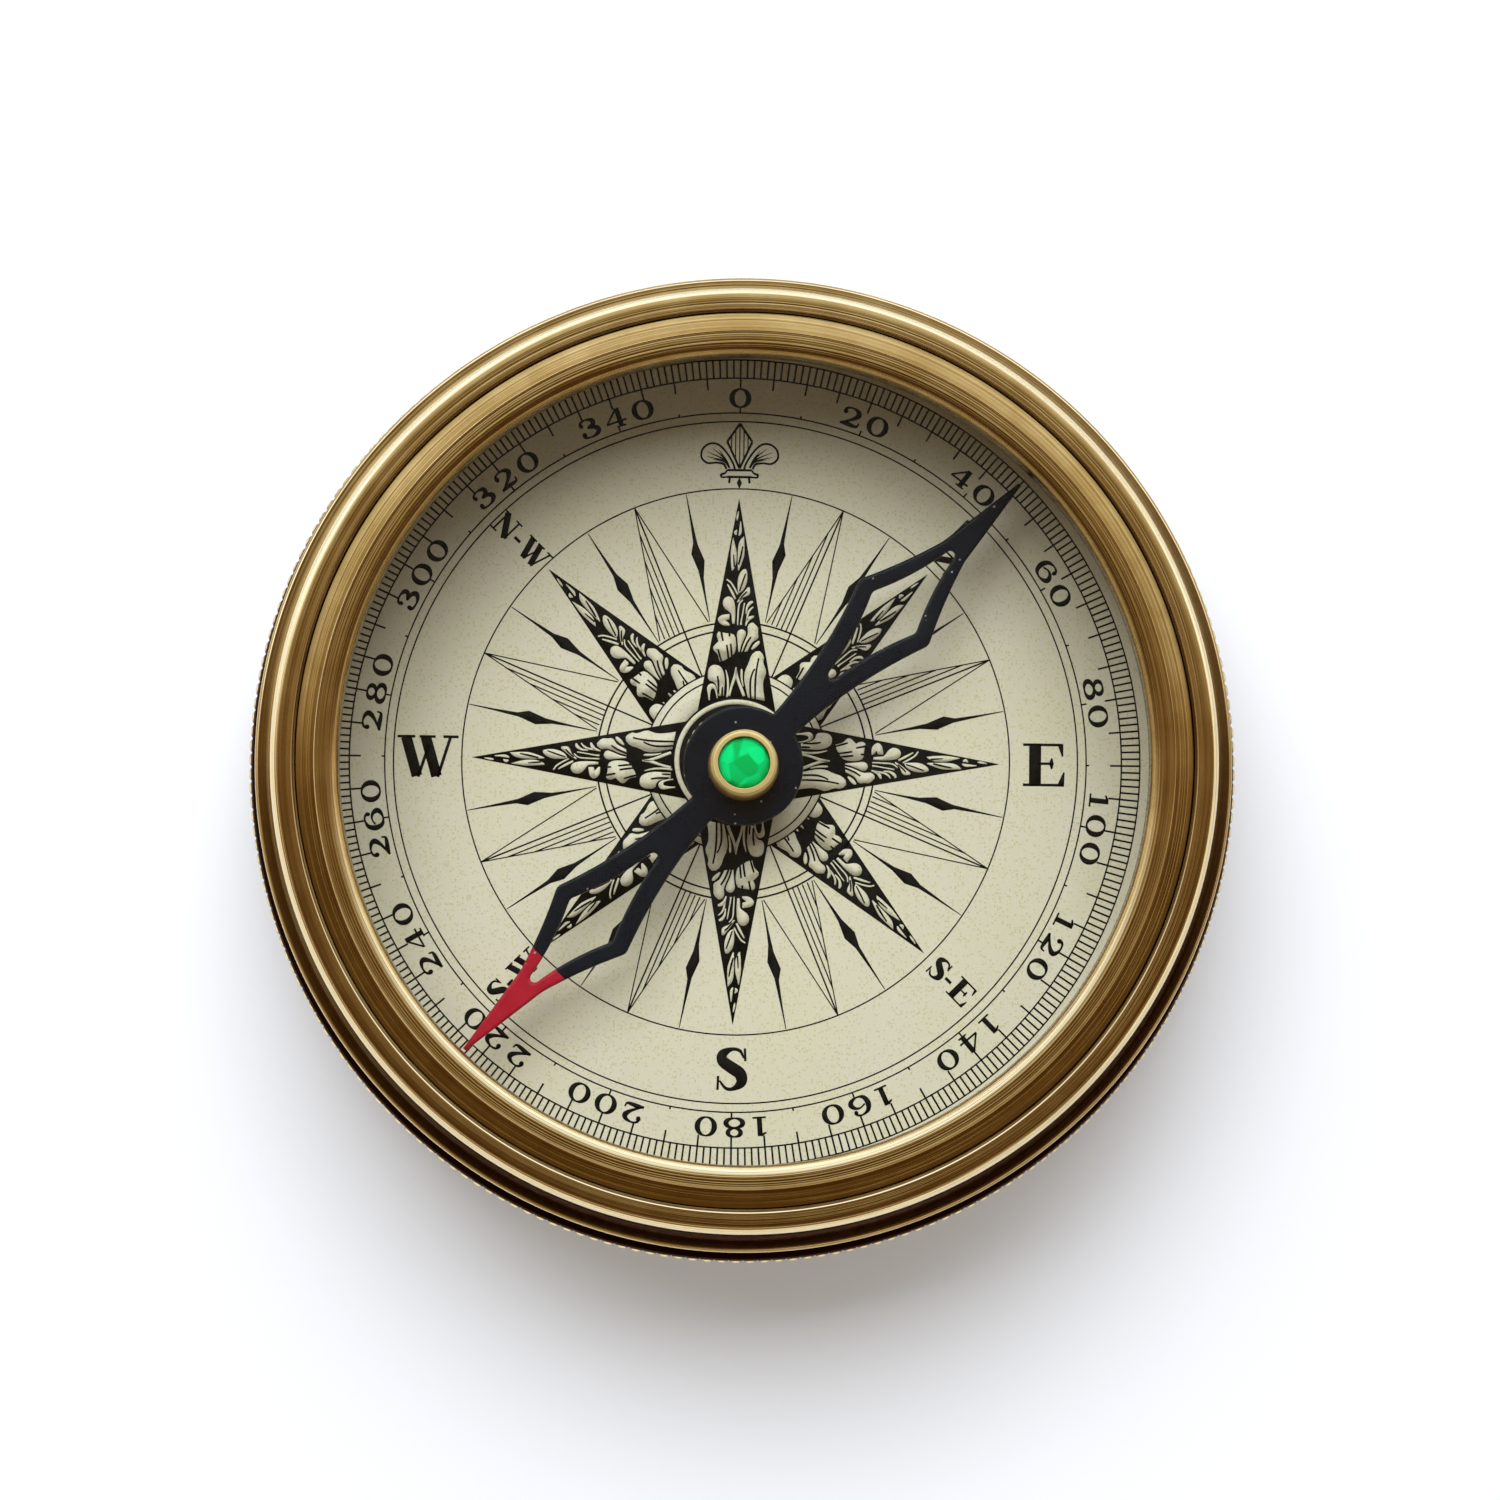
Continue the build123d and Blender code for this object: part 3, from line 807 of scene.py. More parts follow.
# %% Glass and packing
clear_glass, tree, shader = new_finish("clear_glass", {
    "Base Color": (0.97, 0.99, 0.97, 1),
    "Roughness": 0.0,
    "IOR": 1.25,
    "Specular IOR Level": 0.2,
    "Transmission Weight": 1.0,
})
lit_through = place(tree, "ShaderNodeBsdfTransparent", None, {0: (0.94, 0.95, 0.94, 1)}).outputs[0]
is_shadow = place(tree, "ShaderNodeLightPath").outputs["Is Shadow Ray"]
refracting = tree.nodes["Principled BSDF"].outputs[0]
glass_inputs = {0: is_shadow, 1: refracting, 2: lit_through}
glass_mix = place(tree, "ShaderNodeMixShader", None, glass_inputs).outputs[0]
tree.links.new(glass_mix, tree.nodes["Material Output"].inputs["Surface"])

black_packing, tree, shader = new_finish("black_packing")
dusty = group_in(tree, blotches, Scale=2200.0, Low=0.3, High=0.8)["Mask"]
rubber = mix_of(tree, dusty, (0.018, 0.018, 0.018), (0.05, 0.048, 0.045))
wire(tree, shader, rubber, spread_of(tree, dusty, -2.0, 2.0))


def refinish(node, finish):
    """Gives a CAD node that keeps its own mesh a better material."""
    nodes[node].data.materials.clear()
    nodes[node].data.materials.append(finish)
    print(node, "keeps its solid and takes", finish.name)


refinish("crystal_glass", clear_glass)
refinish("glass_gasket", black_packing)

# %% [markdown]
# The dial is cream card with a fine yellow-green grain, a little darker in soft clouds, as old printed
# paper is. Print is solid black with slightly uneven ink. Both finishes read Object coordinates, so the
# grain has a real size in millimetres.

# %% Card and ink
dial_paper, tree, shader = new_finish("dial_paper", {"Specular IOR Level": 0.3})
grain = group_in(tree, specks, Scale=5200.0, Size=0.44, Share=0.3)["Mask"]
cloud = group_in(tree, blotches, Scale=140.0, Low=0.35, High=0.7)["Mask"]
fibre = group_in(tree, blotches, Scale=5200.0, Low=0.3, High=0.7)["Mask"]
paper = mix_of(tree, cloud, (0.80, 0.72, 0.56), (0.785, 0.71, 0.505))
paper = mix_of(tree, math_of(tree, "MULTIPLY", fibre, 0.35), paper, (0.67, 0.61, 0.43))
paper = mix_of(tree, math_of(tree, "MULTIPLY", grain, 0.75), paper, (0.63, 0.58, 0.28))
wire(tree, shader, paper, spread_of(tree, fibre, -2.2, 2.0), bump_of(tree, 0.25, 0.00002, fibre))

black_ink, tree, shader = new_finish("black_ink", {"Specular IOR Level": 0.1})
ink_fade = group_in(tree, blotches, Scale=1400.0, Low=0.4, High=0.75)["Mask"]
ink = mix_of(tree, ink_fade, (0.006, 0.006, 0.006), (0.016, 0.015, 0.013))
wire(tree, shader, ink, spread_of(tree, ink_fade, -2.5, 2.5))
refinish("dial_card", dial_paper)

# %% [markdown]
# Printing is drawn with strokes. A stroke is a line of points with a half width at each, so one tool
# draws ticks, circles, letters and leaves. Each stroke becomes a very thin slab on the card. Where two
# cross, the one on the higher level shows, as a second pass of a printing press would. Ink spreads a
# little into paper, so letters come out a hair heavier than drawn.

# %% Stroke helper
ink_step = 0.006
ink_sink = 0.02
ink_spread = 0.022


def draw(sheet, line, half_width, level=1.0, closed=False):
    """Adds a stroke to a sheet: its edges are the line moved left and right by the half width."""
    line = np.asarray(line, float)
    if closed:
        along = np.roll(line, -1, axis=0) - np.roll(line, 1, axis=0)
    else:
        along = np.gradient(line, axis=0)
    along = along / np.hypot(along[:, 0], along[:, 1])[:, None]
    out = np.stack([-along[:, 1], along[:, 0]], 1) * np.broadcast_to(half_width, len(line))[:, None]
    sheet.append((line + out, line - out, level, closed))


def slabs(sheet):
    """Points and faces of all strokes of a sheet, each a closed thin slab on top of the card."""
    all_points, all_faces, used = [], [], 0
    for left, right, level, closed in sheet:
        top, bottom = card_top + level * ink_step, card_top - ink_sink
        ring = [(right, top), (left, top), (left, bottom), (right, bottom)]
        points = np.stack([np.insert(edge, 2, height, axis=1) for edge, height in ring], 1)
        index = used + np.arange(points.shape[0] * 4).reshape(-1, 4)
        ahead = np.roll(index, -1, axis=0) if closed else index[1:]
        here = index if closed else index[:-1]
        sides = np.stack([here, ahead, np.roll(ahead, -1, axis=1), np.roll(here, -1, axis=1)], -1)
        all_faces.append(sides.reshape(-1, 4))
        if not closed:
            all_faces.append(np.stack([index[0], index[-1][::-1]]))
        all_points.append(points.reshape(-1, 3))
        used += points.shape[0] * 4
    return np.vstack(all_points), np.vstack(all_faces)


print_turn = math.radians(-0.7)
print_shift = np.array([-0.505, 0.725, 0.0])


def print_sheet(name, sheet, finish):
    """Turns and shifts a sheet to where the card was printed, a little off centre, and makes its piece."""
    points, faces = slabs(sheet)
    c, s = math.cos(print_turn), math.sin(print_turn)
    points = points @ np.array([[c, s, 0.0], [-s, c, 0.0], [0.0, 0.0, 1.0]]) + print_shift
    dress(put_mesh(name, points, faces, smooth=None), finish, "case", "dial_paper")


def at(bearing, radius):
    """Points at a compass bearing, clockwise from north in degrees, and a radius in millimetres."""
    b, r = np.broadcast_arrays(np.radians(bearing), np.asarray(radius, float))
    return np.stack([r * np.sin(b), r * np.cos(b)], -1)


def circle(sheet, radius, half_width, level=1.0):
    """A closed round line."""
    draw(sheet, at(-np.linspace(0.0, 360.0, 240, endpoint=False), radius), half_width, level, True)


def straight(sheet, start, end, half_width):
    """A straight line between two points."""
    draw(sheet, np.stack([start, end]), half_width)


print("stroke helper ready")

# %% [markdown]
# The outer scale has a tick for every degree between two circles. Every fifth reaches further in, and
# inside the numerals a double ring carries its own small ticks.

# %% Degree scale
scale_outer = 31.48
scale_inner = 30.04
fifth_reach = 29.15
double_outer = 27.29
double_inner = 26.61
hair = 0.056
inner_line = 0.06
degree_tick = 0.072
small_tick = 0.066

scale_sheet = []
for degree in range(360):
    inner = fifth_reach if degree % 5 == 0 else scale_inner
    straight(scale_sheet, at(degree, inner), at(degree, scale_outer), degree_tick)
for degree in range(0, 360, 10):
    reach = 0.42 if degree % 20 == 0 else 0.24
    straight(scale_sheet, at(degree, double_outer), at(degree, double_outer + reach), small_tick)
for radius in (scale_outer, double_outer, double_inner):
    circle(scale_sheet, radius, hair)
circle(scale_sheet, scale_inner, inner_line)
print("scale:", len(scale_sheet), "strokes")

# %% [markdown]
# The numerals are wide, with thick sides and thin tops, like those on old charts. Each is a handful of
# strokes in a square one unit high. A curved stroke only needs a few knots: the Catmull-Rom cubic runs
# smoothly through them, and carries the half width along as a third coordinate.

# %% Numeral shapes
def flow(knots, steps=7):
    """A smooth line through knots: each span is the Catmull-Rom cubic of four neighbouring knots."""
    k = np.asarray(knots, float)
    k = np.vstack([2 * k[0] - k[1], k, 2 * k[-1] - k[-2]])
    t = np.linspace(0.0, 1.0, steps, endpoint=False)[:, None]
    early = [-t + 2 * t**2 - t**3, 2 - 5 * t**2 + 3 * t**3]
    late = [t + 4 * t**2 - 3 * t**3, t**3 - t**2]
    share = np.hstack(early + late) / 2
    spans = np.stack([k[:-3], k[1:-2], k[2:-1], k[3:]], 1)
    return np.vstack([np.einsum("st,mtc->msc", share, spans).reshape(-1, spans.shape[2]), k[-2]])


def oval(x, y, wide, tall, thin, thick):
    """A closed oval whose line is thin at top and bottom and thick at its sides."""
    turn = np.linspace(0.0, 2 * math.pi, 41)
    half = thin + (thick - thin) * np.abs(np.cos(turn)) ** 1.6
    return np.stack([x + wide * np.cos(turn), y + tall * np.sin(turn), half], 1)


def dot(x, y, radius):
    """A round end: a short line whose half width follows a circle."""
    along = np.cos(np.linspace(math.pi * 0.98, math.pi * 0.02, 13))
    return np.stack([x + radius * along, np.full_like(along, y), radius * np.sqrt(1 - along**2)], 1)


def wedge(x0, y0, half0, x1, y1, half1):
    """A straight stroke that changes width."""
    return np.array([[x0, y0, half0], [x1, y1, half1]])


def bar(x0, y0, x1, y1, half):
    """A straight stroke of one width."""
    return wedge(x0, y0, half, x1, y1, half)


numerals = {
    "0": (1.14, [oval(0.57, 0.5, 0.43, 0.465, 0.032, 0.125)]),
    "1": (0.84, [
        bar(0.42, 0.02, 0.42, 0.97, 0.115),
        wedge(0.10, 0.80, 0.025, 0.36, 0.92, 0.06),
        bar(0.08, 0.032, 0.76, 0.032, 0.032),
    ]),
    "2": (1.14, [
        flow([(0.15, 0.70, 0.06), (0.26, 0.90, 0.05), (0.54, 0.965, 0.035), (0.84, 0.86, 0.09),
              (0.92, 0.67, 0.125), (0.70, 0.42, 0.075), (0.34, 0.20, 0.04), (0.10, 0.05, 0.035)]),
        flow([(0.10, 0.09, 0.04), (0.38, 0.12, 0.10), (0.74, 0.085, 0.085), (0.98, 0.10, 0.05),
              (1.05, 0.30, 0.022)]),
        dot(0.22, 0.715, 0.115),
    ]),
    "3": (1.14, [
        flow([(0.15, 0.75, 0.06), (0.26, 0.92, 0.045), (0.54, 0.965, 0.032), (0.83, 0.85, 0.10),
              (0.82, 0.65, 0.10), (0.48, 0.535, 0.03)]),
        flow([(0.48, 0.535, 0.03), (0.84, 0.46, 0.09), (0.98, 0.27, 0.125), (0.82, 0.09, 0.08),
              (0.52, 0.035, 0.034), (0.22, 0.10, 0.05), (0.13, 0.25, 0.06)]),
        dot(0.22, 0.735, 0.10),
        dot(0.21, 0.25, 0.11),
    ]),
    "4": (1.14, [
        bar(0.74, 0.02, 0.74, 0.98, 0.115),
        bar(0.70, 0.95, 0.05, 0.30, 0.035),
        bar(0.02, 0.29, 1.08, 0.29, 0.036),
        bar(0.50, 0.03, 0.98, 0.03, 0.03),
    ]),
    "6": (1.14, [
        flow([(0.95, 0.77, 0.05), (0.80, 0.93, 0.045), (0.56, 0.965, 0.034), (0.25, 0.82, 0.09),
              (0.135, 0.48, 0.125), (0.26, 0.14, 0.09), (0.58, 0.035, 0.034), (0.89, 0.14, 0.09),
              (1.0, 0.32, 0.12), (0.86, 0.53, 0.075), (0.60, 0.60, 0.034), (0.30, 0.47, 0.03)]),
        dot(0.87, 0.775, 0.10),
    ]),
    "8": (1.14, [
        oval(0.57, 0.755, 0.32, 0.212, 0.03, 0.105),
        oval(0.57, 0.27, 0.42, 0.237, 0.03, 0.12),
    ]),
}
print("numeral shapes:", "".join(numerals))

# %% Setting the numerals
def set_text(sheet, words, shapes, size, gap, middle, right, curve=None):
    """Sets a word in a line of shapes: middle is its centre, right the reading direction as a unit vector.

    With a curve radius each letter is turned to stand on that circle about the origin. A stroke that ends
    where it began is closed.
    """
    widths = np.array([shapes[letter][0] for letter in words]) * size
    line_length = widths.sum() + gap * (len(words) - 1)
    starts = np.concatenate([[0.0], np.cumsum(widths + gap)[:-1]]) - line_length / 2
    for letter, start, width in zip(words, starts, widths):
        ahead, foot_point, offset = np.array(right), np.array(middle), start
        if curve:
            swing = math.degrees((start + width / 2) / curve)
            b = math.degrees(math.atan2(middle[0], middle[1])) + swing
            ahead, foot_point, offset = at(b + 90.0, 1.0), at(b, curve), -width / 2
        rise = np.array([-ahead[1], ahead[0]])
        for stroke in shapes[letter][1]:
            closed = np.allclose(stroke[0], stroke[-1])
            stroke = stroke[:-1] if closed else stroke
            x, y = stroke[:, 0] * size + offset, (stroke[:, 1] - 0.5) * size
            half = stroke[:, 2] * size + ink_spread
            draw(sheet, foot_point + x[:, None] * ahead + y[:, None] * rise, half, closed=closed)


numeral_height = 1.53
numeral_gap = 0.46
numeral_radius = 28.46
for number in range(0, 360, 20):
    set_text(
        scale_sheet, str(number), numerals, numeral_height, numeral_gap,
        at(number, numeral_radius), (1, 0), numeral_radius,
    )
print_sheet("printed_scale", scale_sheet, black_ink)

# %% [markdown]
# The quarters are named with heavy letters, W, S and E upright on the card, and the half quarters with
# smaller pairs set on the slant. Letters are strokes too: a thick stem, a hairline arm, a small wedge at
# its end.

# %% Quarter letters
letters = {
    "E": (1.0, [
        bar(0.305, 0.01, 0.305, 0.99, 0.135),
        bar(0.02, 0.975, 0.95, 0.975, 0.025),
        bar(0.02, 0.025, 0.98, 0.025, 0.025),
        wedge(0.905, 0.985, 0.06, 0.955, 0.70, 0.01),
        wedge(0.915, 0.015, 0.075, 0.99, 0.33, 0.01),
        bar(0.40, 0.53, 0.70, 0.53, 0.024),
        np.array([[0.70, 0.66, 0.01], [0.69, 0.53, 0.05], [0.70, 0.40, 0.01]]),
    ]),
    "W": (1.44, [
        bar(0.205, 0.97, 0.475, 0.04, 0.120),
        bar(0.50, 0.02, 0.75, 0.80, 0.030),
        bar(0.665, 0.97, 0.935, 0.04, 0.120),
        bar(0.96, 0.02, 1.25, 0.97, 0.030),
        bar(0.0, 0.975, 0.42, 0.975, 0.025),
        bar(0.52, 0.975, 0.90, 0.975, 0.025),
        bar(1.08, 0.975, 1.44, 0.975, 0.025),
    ]),
    "S": (0.76, [
        flow([(0.655, 0.76, 0.015), (0.56, 0.93, 0.032), (0.37, 0.965, 0.04), (0.165, 0.855, 0.105),
              (0.16, 0.69, 0.125), (0.36, 0.54, 0.135), (0.57, 0.39, 0.135), (0.595, 0.19, 0.115),
              (0.42, 0.045, 0.045), (0.24, 0.05, 0.032), (0.085, 0.23, 0.015)]),
        wedge(0.675, 0.99, 0.022, 0.69, 0.69, 0.022),
        wedge(0.045, 0.01, 0.022, 0.055, 0.34, 0.022),
    ]),
    "N": (1.08, [
        bar(0.22, 0.02, 0.22, 0.98, 0.030),
        bar(0.20, 0.97, 0.86, 0.03, 0.130),
        bar(0.88, 0.02, 0.88, 0.98, 0.030),
        bar(0.02, 0.975, 0.36, 0.975, 0.025),
        bar(0.04, 0.025, 0.40, 0.025, 0.025),
        bar(0.70, 0.975, 1.06, 0.975, 0.025),
    ]),
    "-": (0.42, [bar(0.04, 0.42, 0.38, 0.42, 0.055)]),
}
print("letter shapes:", "".join(letters))

# %% Setting the letters
letter_sheet = []
letter_height = 3.3
quarter_radius = 23.95
half_height = 1.78
slant = math.sqrt(0.5)
for letter, bearing in (("E", 90), ("S", 180), ("W", 270)):
    set_text(letter_sheet, letter, letters, letter_height, 0.0, at(bearing, quarter_radius), (1.0, 0.0))
for words, bearing, direction in (
    ("N-E", 45, (slant, slant)),
    ("S-E", 135, (slant, -slant)),
    ("S-W", 225, (slant, slant)),
    ("N-W", 315, (slant, -slant)),
):
    set_text(letter_sheet, words, letters, half_height, 0.06, at(bearing, quarter_radius), direction)
print("letters:", len(letter_sheet), "strokes")

# %% [markdown]
# North is marked by a lily, as on most old compass cards: a hatched middle leaf, two curled side leaves
# and a band. It is drawn as outlines with a few hatching lines.

# %% North lily
lily_tip = 26.46
lily_waist = 22.92
lily_shoulder = 25.02
lily_half = 0.98
lily_line = 0.09


def mirrored(knots):
    """The same knots on the other side of the north line."""
    other = np.array(knots, float)
    other[:, 0] *= -1
    return other


leaf_sides = [(0.0, lily_tip, 0), (lily_half, lily_shoulder, 0), (0.0, lily_waist, 0)]
petal = [
    (0.36, 22.85, 0.05), (0.55, 23.40, 0.05), (1.10, 24.25, 0.05), (1.72, 24.80, 0.05), (2.38, 24.83, 0.05),
    (2.90, 24.40, 0.05), (2.98, 23.75, 0.05), (2.52, 23.32, 0.05), (1.80, 23.35, 0.05), (1.25, 23.25, 0.06),
    (1.02, 22.86, 0.05),
]
horn = [
    (0.95, 22.80, 0.04), (1.12, 22.55, 0.05), (1.42, 22.42, 0.06), (1.36, 22.22, 0.05), (0.90, 22.24, 0.04),
]
for flip in (np.array, mirrored):
    sides = flip(leaf_sides)[:, :2]
    straight(letter_sheet, sides[0], sides[1], lily_line)
    straight(letter_sheet, sides[1], sides[2], lily_line)
    for knots in (petal, horn):
        curve = flow(flip(knots))
        draw(letter_sheet, curve[:, :2], curve[:, 2] * 1.6)
    for x, y in ((1.62, 24.35), (2.12, 24.48), (2.55, 24.20), (2.55, 23.82), (2.12, 23.62)):
        bend = (1.12 + 0.1 * (x - 1.6), 23.42 + 0.3 * (y - 23.6), 0.05)
        vein = flow(flip([(0.78, 22.95, 0.055), bend, (x, y, 0.012)]))
        draw(letter_sheet, vein[:, :2], vein[:, 2] * 1.4)
    foot_line = flip([(0.74, 22.24, 0), (0.80, 21.75, 0)])[:, :2]
    straight(letter_sheet, foot_line[0], foot_line[1], lily_line)
for share in (-0.66, -0.33, 0.0, 0.33, 0.66):
    x = share * lily_half
    top = lily_shoulder + (lily_tip - lily_shoulder) * (1 - abs(share))
    bottom = lily_shoulder - (lily_shoulder - lily_waist) * (1 - abs(share))
    straight(letter_sheet, (x, bottom), (x, top), 0.045)
for level in (22.78, 22.24):
    straight(letter_sheet, (-0.95, level), (0.95, level), lily_line)
draw(letter_sheet, [(0.0, 22.2), (0.0, 21.78), (0.0, 21.33)], np.array([0.02, 0.2, 0.015]))
print_sheet("printed_letters", letter_sheet, black_ink)

# %% [markdown]
# The rose is a star of eight black points with thin rays and darts between them. The rays and circles
# are hairlines. A dart swells to a lozenge in its middle; beside the main points the lozenge leans, so
# its left and right edges are set out apart. The four diagonal points go on first, then a plain band
# that cuts their feet, then the four main points over them.

# %% Rose: circles and darts
rose_radius = 21.31
rose_line = 0.054
main_foot = 3.9
main_tip = 20.5
half_foot = 6.45
half_tip = 20.9
point_slope = 0.1823
notch_radius = 7.0
ray_foot = 11.05
ray_spread = math.radians(10.6)
ray_line = 0.062
ray_edge = 0.046
hatch_line = 0.052
belt_radii = (10.82, 10.2)
belt_line = 0.068
band_radii = (7.08, 6.5)
band_line = 0.06

rose_sheet = []
circle(rose_sheet, rose_radius, rose_line)
for radius in belt_radii:
    circle(rose_sheet, radius, belt_line)
dart_radii = np.array([11.05, 13.4, 14.85, 16.2, 17.3, 19.2, 21.2])
dart_widths = np.array([0.03, 0.08, 0.16, 0.47, 0.16, 0.08, 0.03])
dart_shifts = np.array([0.0, 0.0, 0.30, 0.34, 0.10, 0.0, 0.0])
dart_skews = (-1.0, 0.0, 0.0, 1.0) * 4
for bearing, skew in zip(np.arange(11.25, 360.0, 22.5), dart_skews):
    left = at(bearing, dart_radii + dart_shifts * skew) + dart_widths[:, None] * at(bearing - 90.0, 1.0)
    right = at(bearing, dart_radii - dart_shifts * skew) - dart_widths[:, None] * at(bearing - 90.0, 1.0)
    rose_sheet.append((left, right, 1.0, False))
print("rose:", len(rose_sheet), "circles and darts")

# %% Rose: rays and points
ray_half = ray_foot * math.sin(ray_spread)
ray_base = ray_foot * math.cos(ray_spread)
for bearing in np.arange(22.5, 360.0, 45.0):
    ray_tip = at(bearing, rose_radius)
    along, left = at(bearing, 1.0), at(bearing - 90.0, 1.0)
    straight(rose_sheet, at(bearing, notch_radius), ray_tip, ray_line)
    for side in (-1, 1):
        straight(rose_sheet, along * ray_base + left * ray_half * side, ray_tip, ray_edge)
    for share in (0.2, 0.4, 0.6, 0.8):
        hatch_end = ray_base + (rose_radius - ray_base) * (1 - share)
        offset = left * ray_half * share
        straight(rose_sheet, along * ray_base + offset, along * hatch_end + offset, hatch_line)
for first, foot, tip, flare, level in (
    (45, half_foot, half_tip, point_slope * 1.018, 1.0),
    (0, main_foot, main_tip, point_slope, 3.0),
):
    for bearing in range(first, 360, 90):
        draw(rose_sheet, at(bearing, np.array([foot, tip])), np.array([(tip - foot) * flare, 0.01]), level)
for radius in band_radii:
    circle(rose_sheet, radius, band_line, 2.5)
print("rose:", len(rose_sheet), "strokes")

# %% [markdown]
# Each black point carries a running leaf ornament left in the colour of the card. It isn't the same on
# both sides: a curl, a hand of lobes and a heart on the left, broad leaves and thin stems on the right.
# A leaf is the strip between two smooth edges, each drawn through a few knots: distance along the point
# and distance to its left. Stems and the thin black veins over the leaves are strokes with a half width.

# %% Rose: leaves
leaves = (
    (((5.05, 1.42), (5.70, 1.55), (6.12, 1.78), (6.30, 2.22), (7.05, 2.24), (7.42, 1.98), (7.46, 1.62)),
     ((5.05, 1.00), (5.60, 0.98), (6.30, 0.95), (6.90, 1.05), (7.35, 1.30), (7.46, 1.62))),
    (((4.95, -0.86), (5.60, -0.72), (6.30, -0.58), (7.00, -0.62), (7.60, -0.88), (8.20, -1.08),
      (8.55, -1.40), (8.60, -1.75)),
     ((4.70, -2.20), (5.20, -2.12), (5.80, -2.05), (6.35, -2.08), (6.90, -2.28), (7.40, -2.15),
      (7.65, -2.02), (8.20, -2.08), (8.60, -1.75))),
    (((7.75, 1.36), (8.30, 1.52), (8.62, 1.84), (8.85, 1.88), (9.12, 1.68), (9.35, 1.45), (9.60, 1.60),
      (9.95, 1.58), (10.08, 1.45)),
     ((7.75, 1.24), (7.85, 0.95), (8.05, 0.65), (8.25, 0.32), (8.60, 0.15), (9.20, 0.10), (9.75, 0.20),
      (9.95, 0.50), (9.97, 0.95), (10.08, 1.45))),
    (((8.50, -0.10), (9.00, -0.05), (9.50, 0.00), (9.90, 0.04), (10.20, -0.10), (10.28, -0.35)),
     ((8.52, -0.18), (9.00, -0.30), (9.50, -0.50), (9.90, -0.65), (10.15, -0.60), (10.28, -0.35))),
    (((8.50, -0.32), (9.00, -0.44), (9.50, -0.64), (10.00, -0.82), (10.50, -0.78), (10.78, -1.00),
      (10.83, -1.20)),
     ((8.55, -0.78), (8.90, -0.95), (9.30, -1.20), (9.60, -1.62), (10.00, -1.60), (10.45, -1.58),
      (10.83, -1.20))),
    (((10.55, 0.65), (10.60, 1.20), (11.00, 1.55), (11.35, 1.30), (11.46, 0.72)),
     ((10.64, 0.60), (10.80, 0.74), (10.98, 0.94), (11.05, 0.66), (11.46, 0.64))),
    (((10.70, 0.42), (11.10, 0.46), (11.50, 0.50), (11.70, 0.75), (11.95, 1.05), (12.30, 1.18),
      (12.70, 1.05), (12.85, 0.75)),
     ((10.70, 0.24), (11.20, 0.20), (11.80, 0.20), (12.40, 0.27), (12.75, 0.45), (12.85, 0.75))),
    (((12.40, 0.08), (12.90, -0.22), (13.30, -0.55), (13.60, -0.78), (13.55, -0.93)),
     ((12.40, -0.05), (12.75, -0.35), (12.90, -0.70), (13.10, -0.93), (13.55, -0.93))),
    (((13.10, -0.02), (13.60, 0.03), (14.20, 0.02), (14.70, -0.15), (15.00, -0.42), (15.02, -0.58)),
     ((13.20, -0.25), (13.50, -0.50), (14.00, -0.68), (14.50, -0.72), (14.90, -0.66), (15.02, -0.58))),
    (((14.85, 0.50), (15.40, 0.57), (16.30, 0.60), (17.00, 0.52), (17.48, 0.43)),
     ((14.95, 0.38), (15.30, 0.22), (15.70, 0.14), (16.40, 0.16), (17.00, 0.30), (17.48, 0.43))),
    (((14.90, 0.02), (15.50, 0.05), (16.30, 0.05), (16.90, 0.00), (17.30, -0.15), (17.58, -0.42)),
     ((14.90, -0.05), (15.50, -0.28), (16.10, -0.45), (16.80, -0.46), (17.58, -0.42))),
)
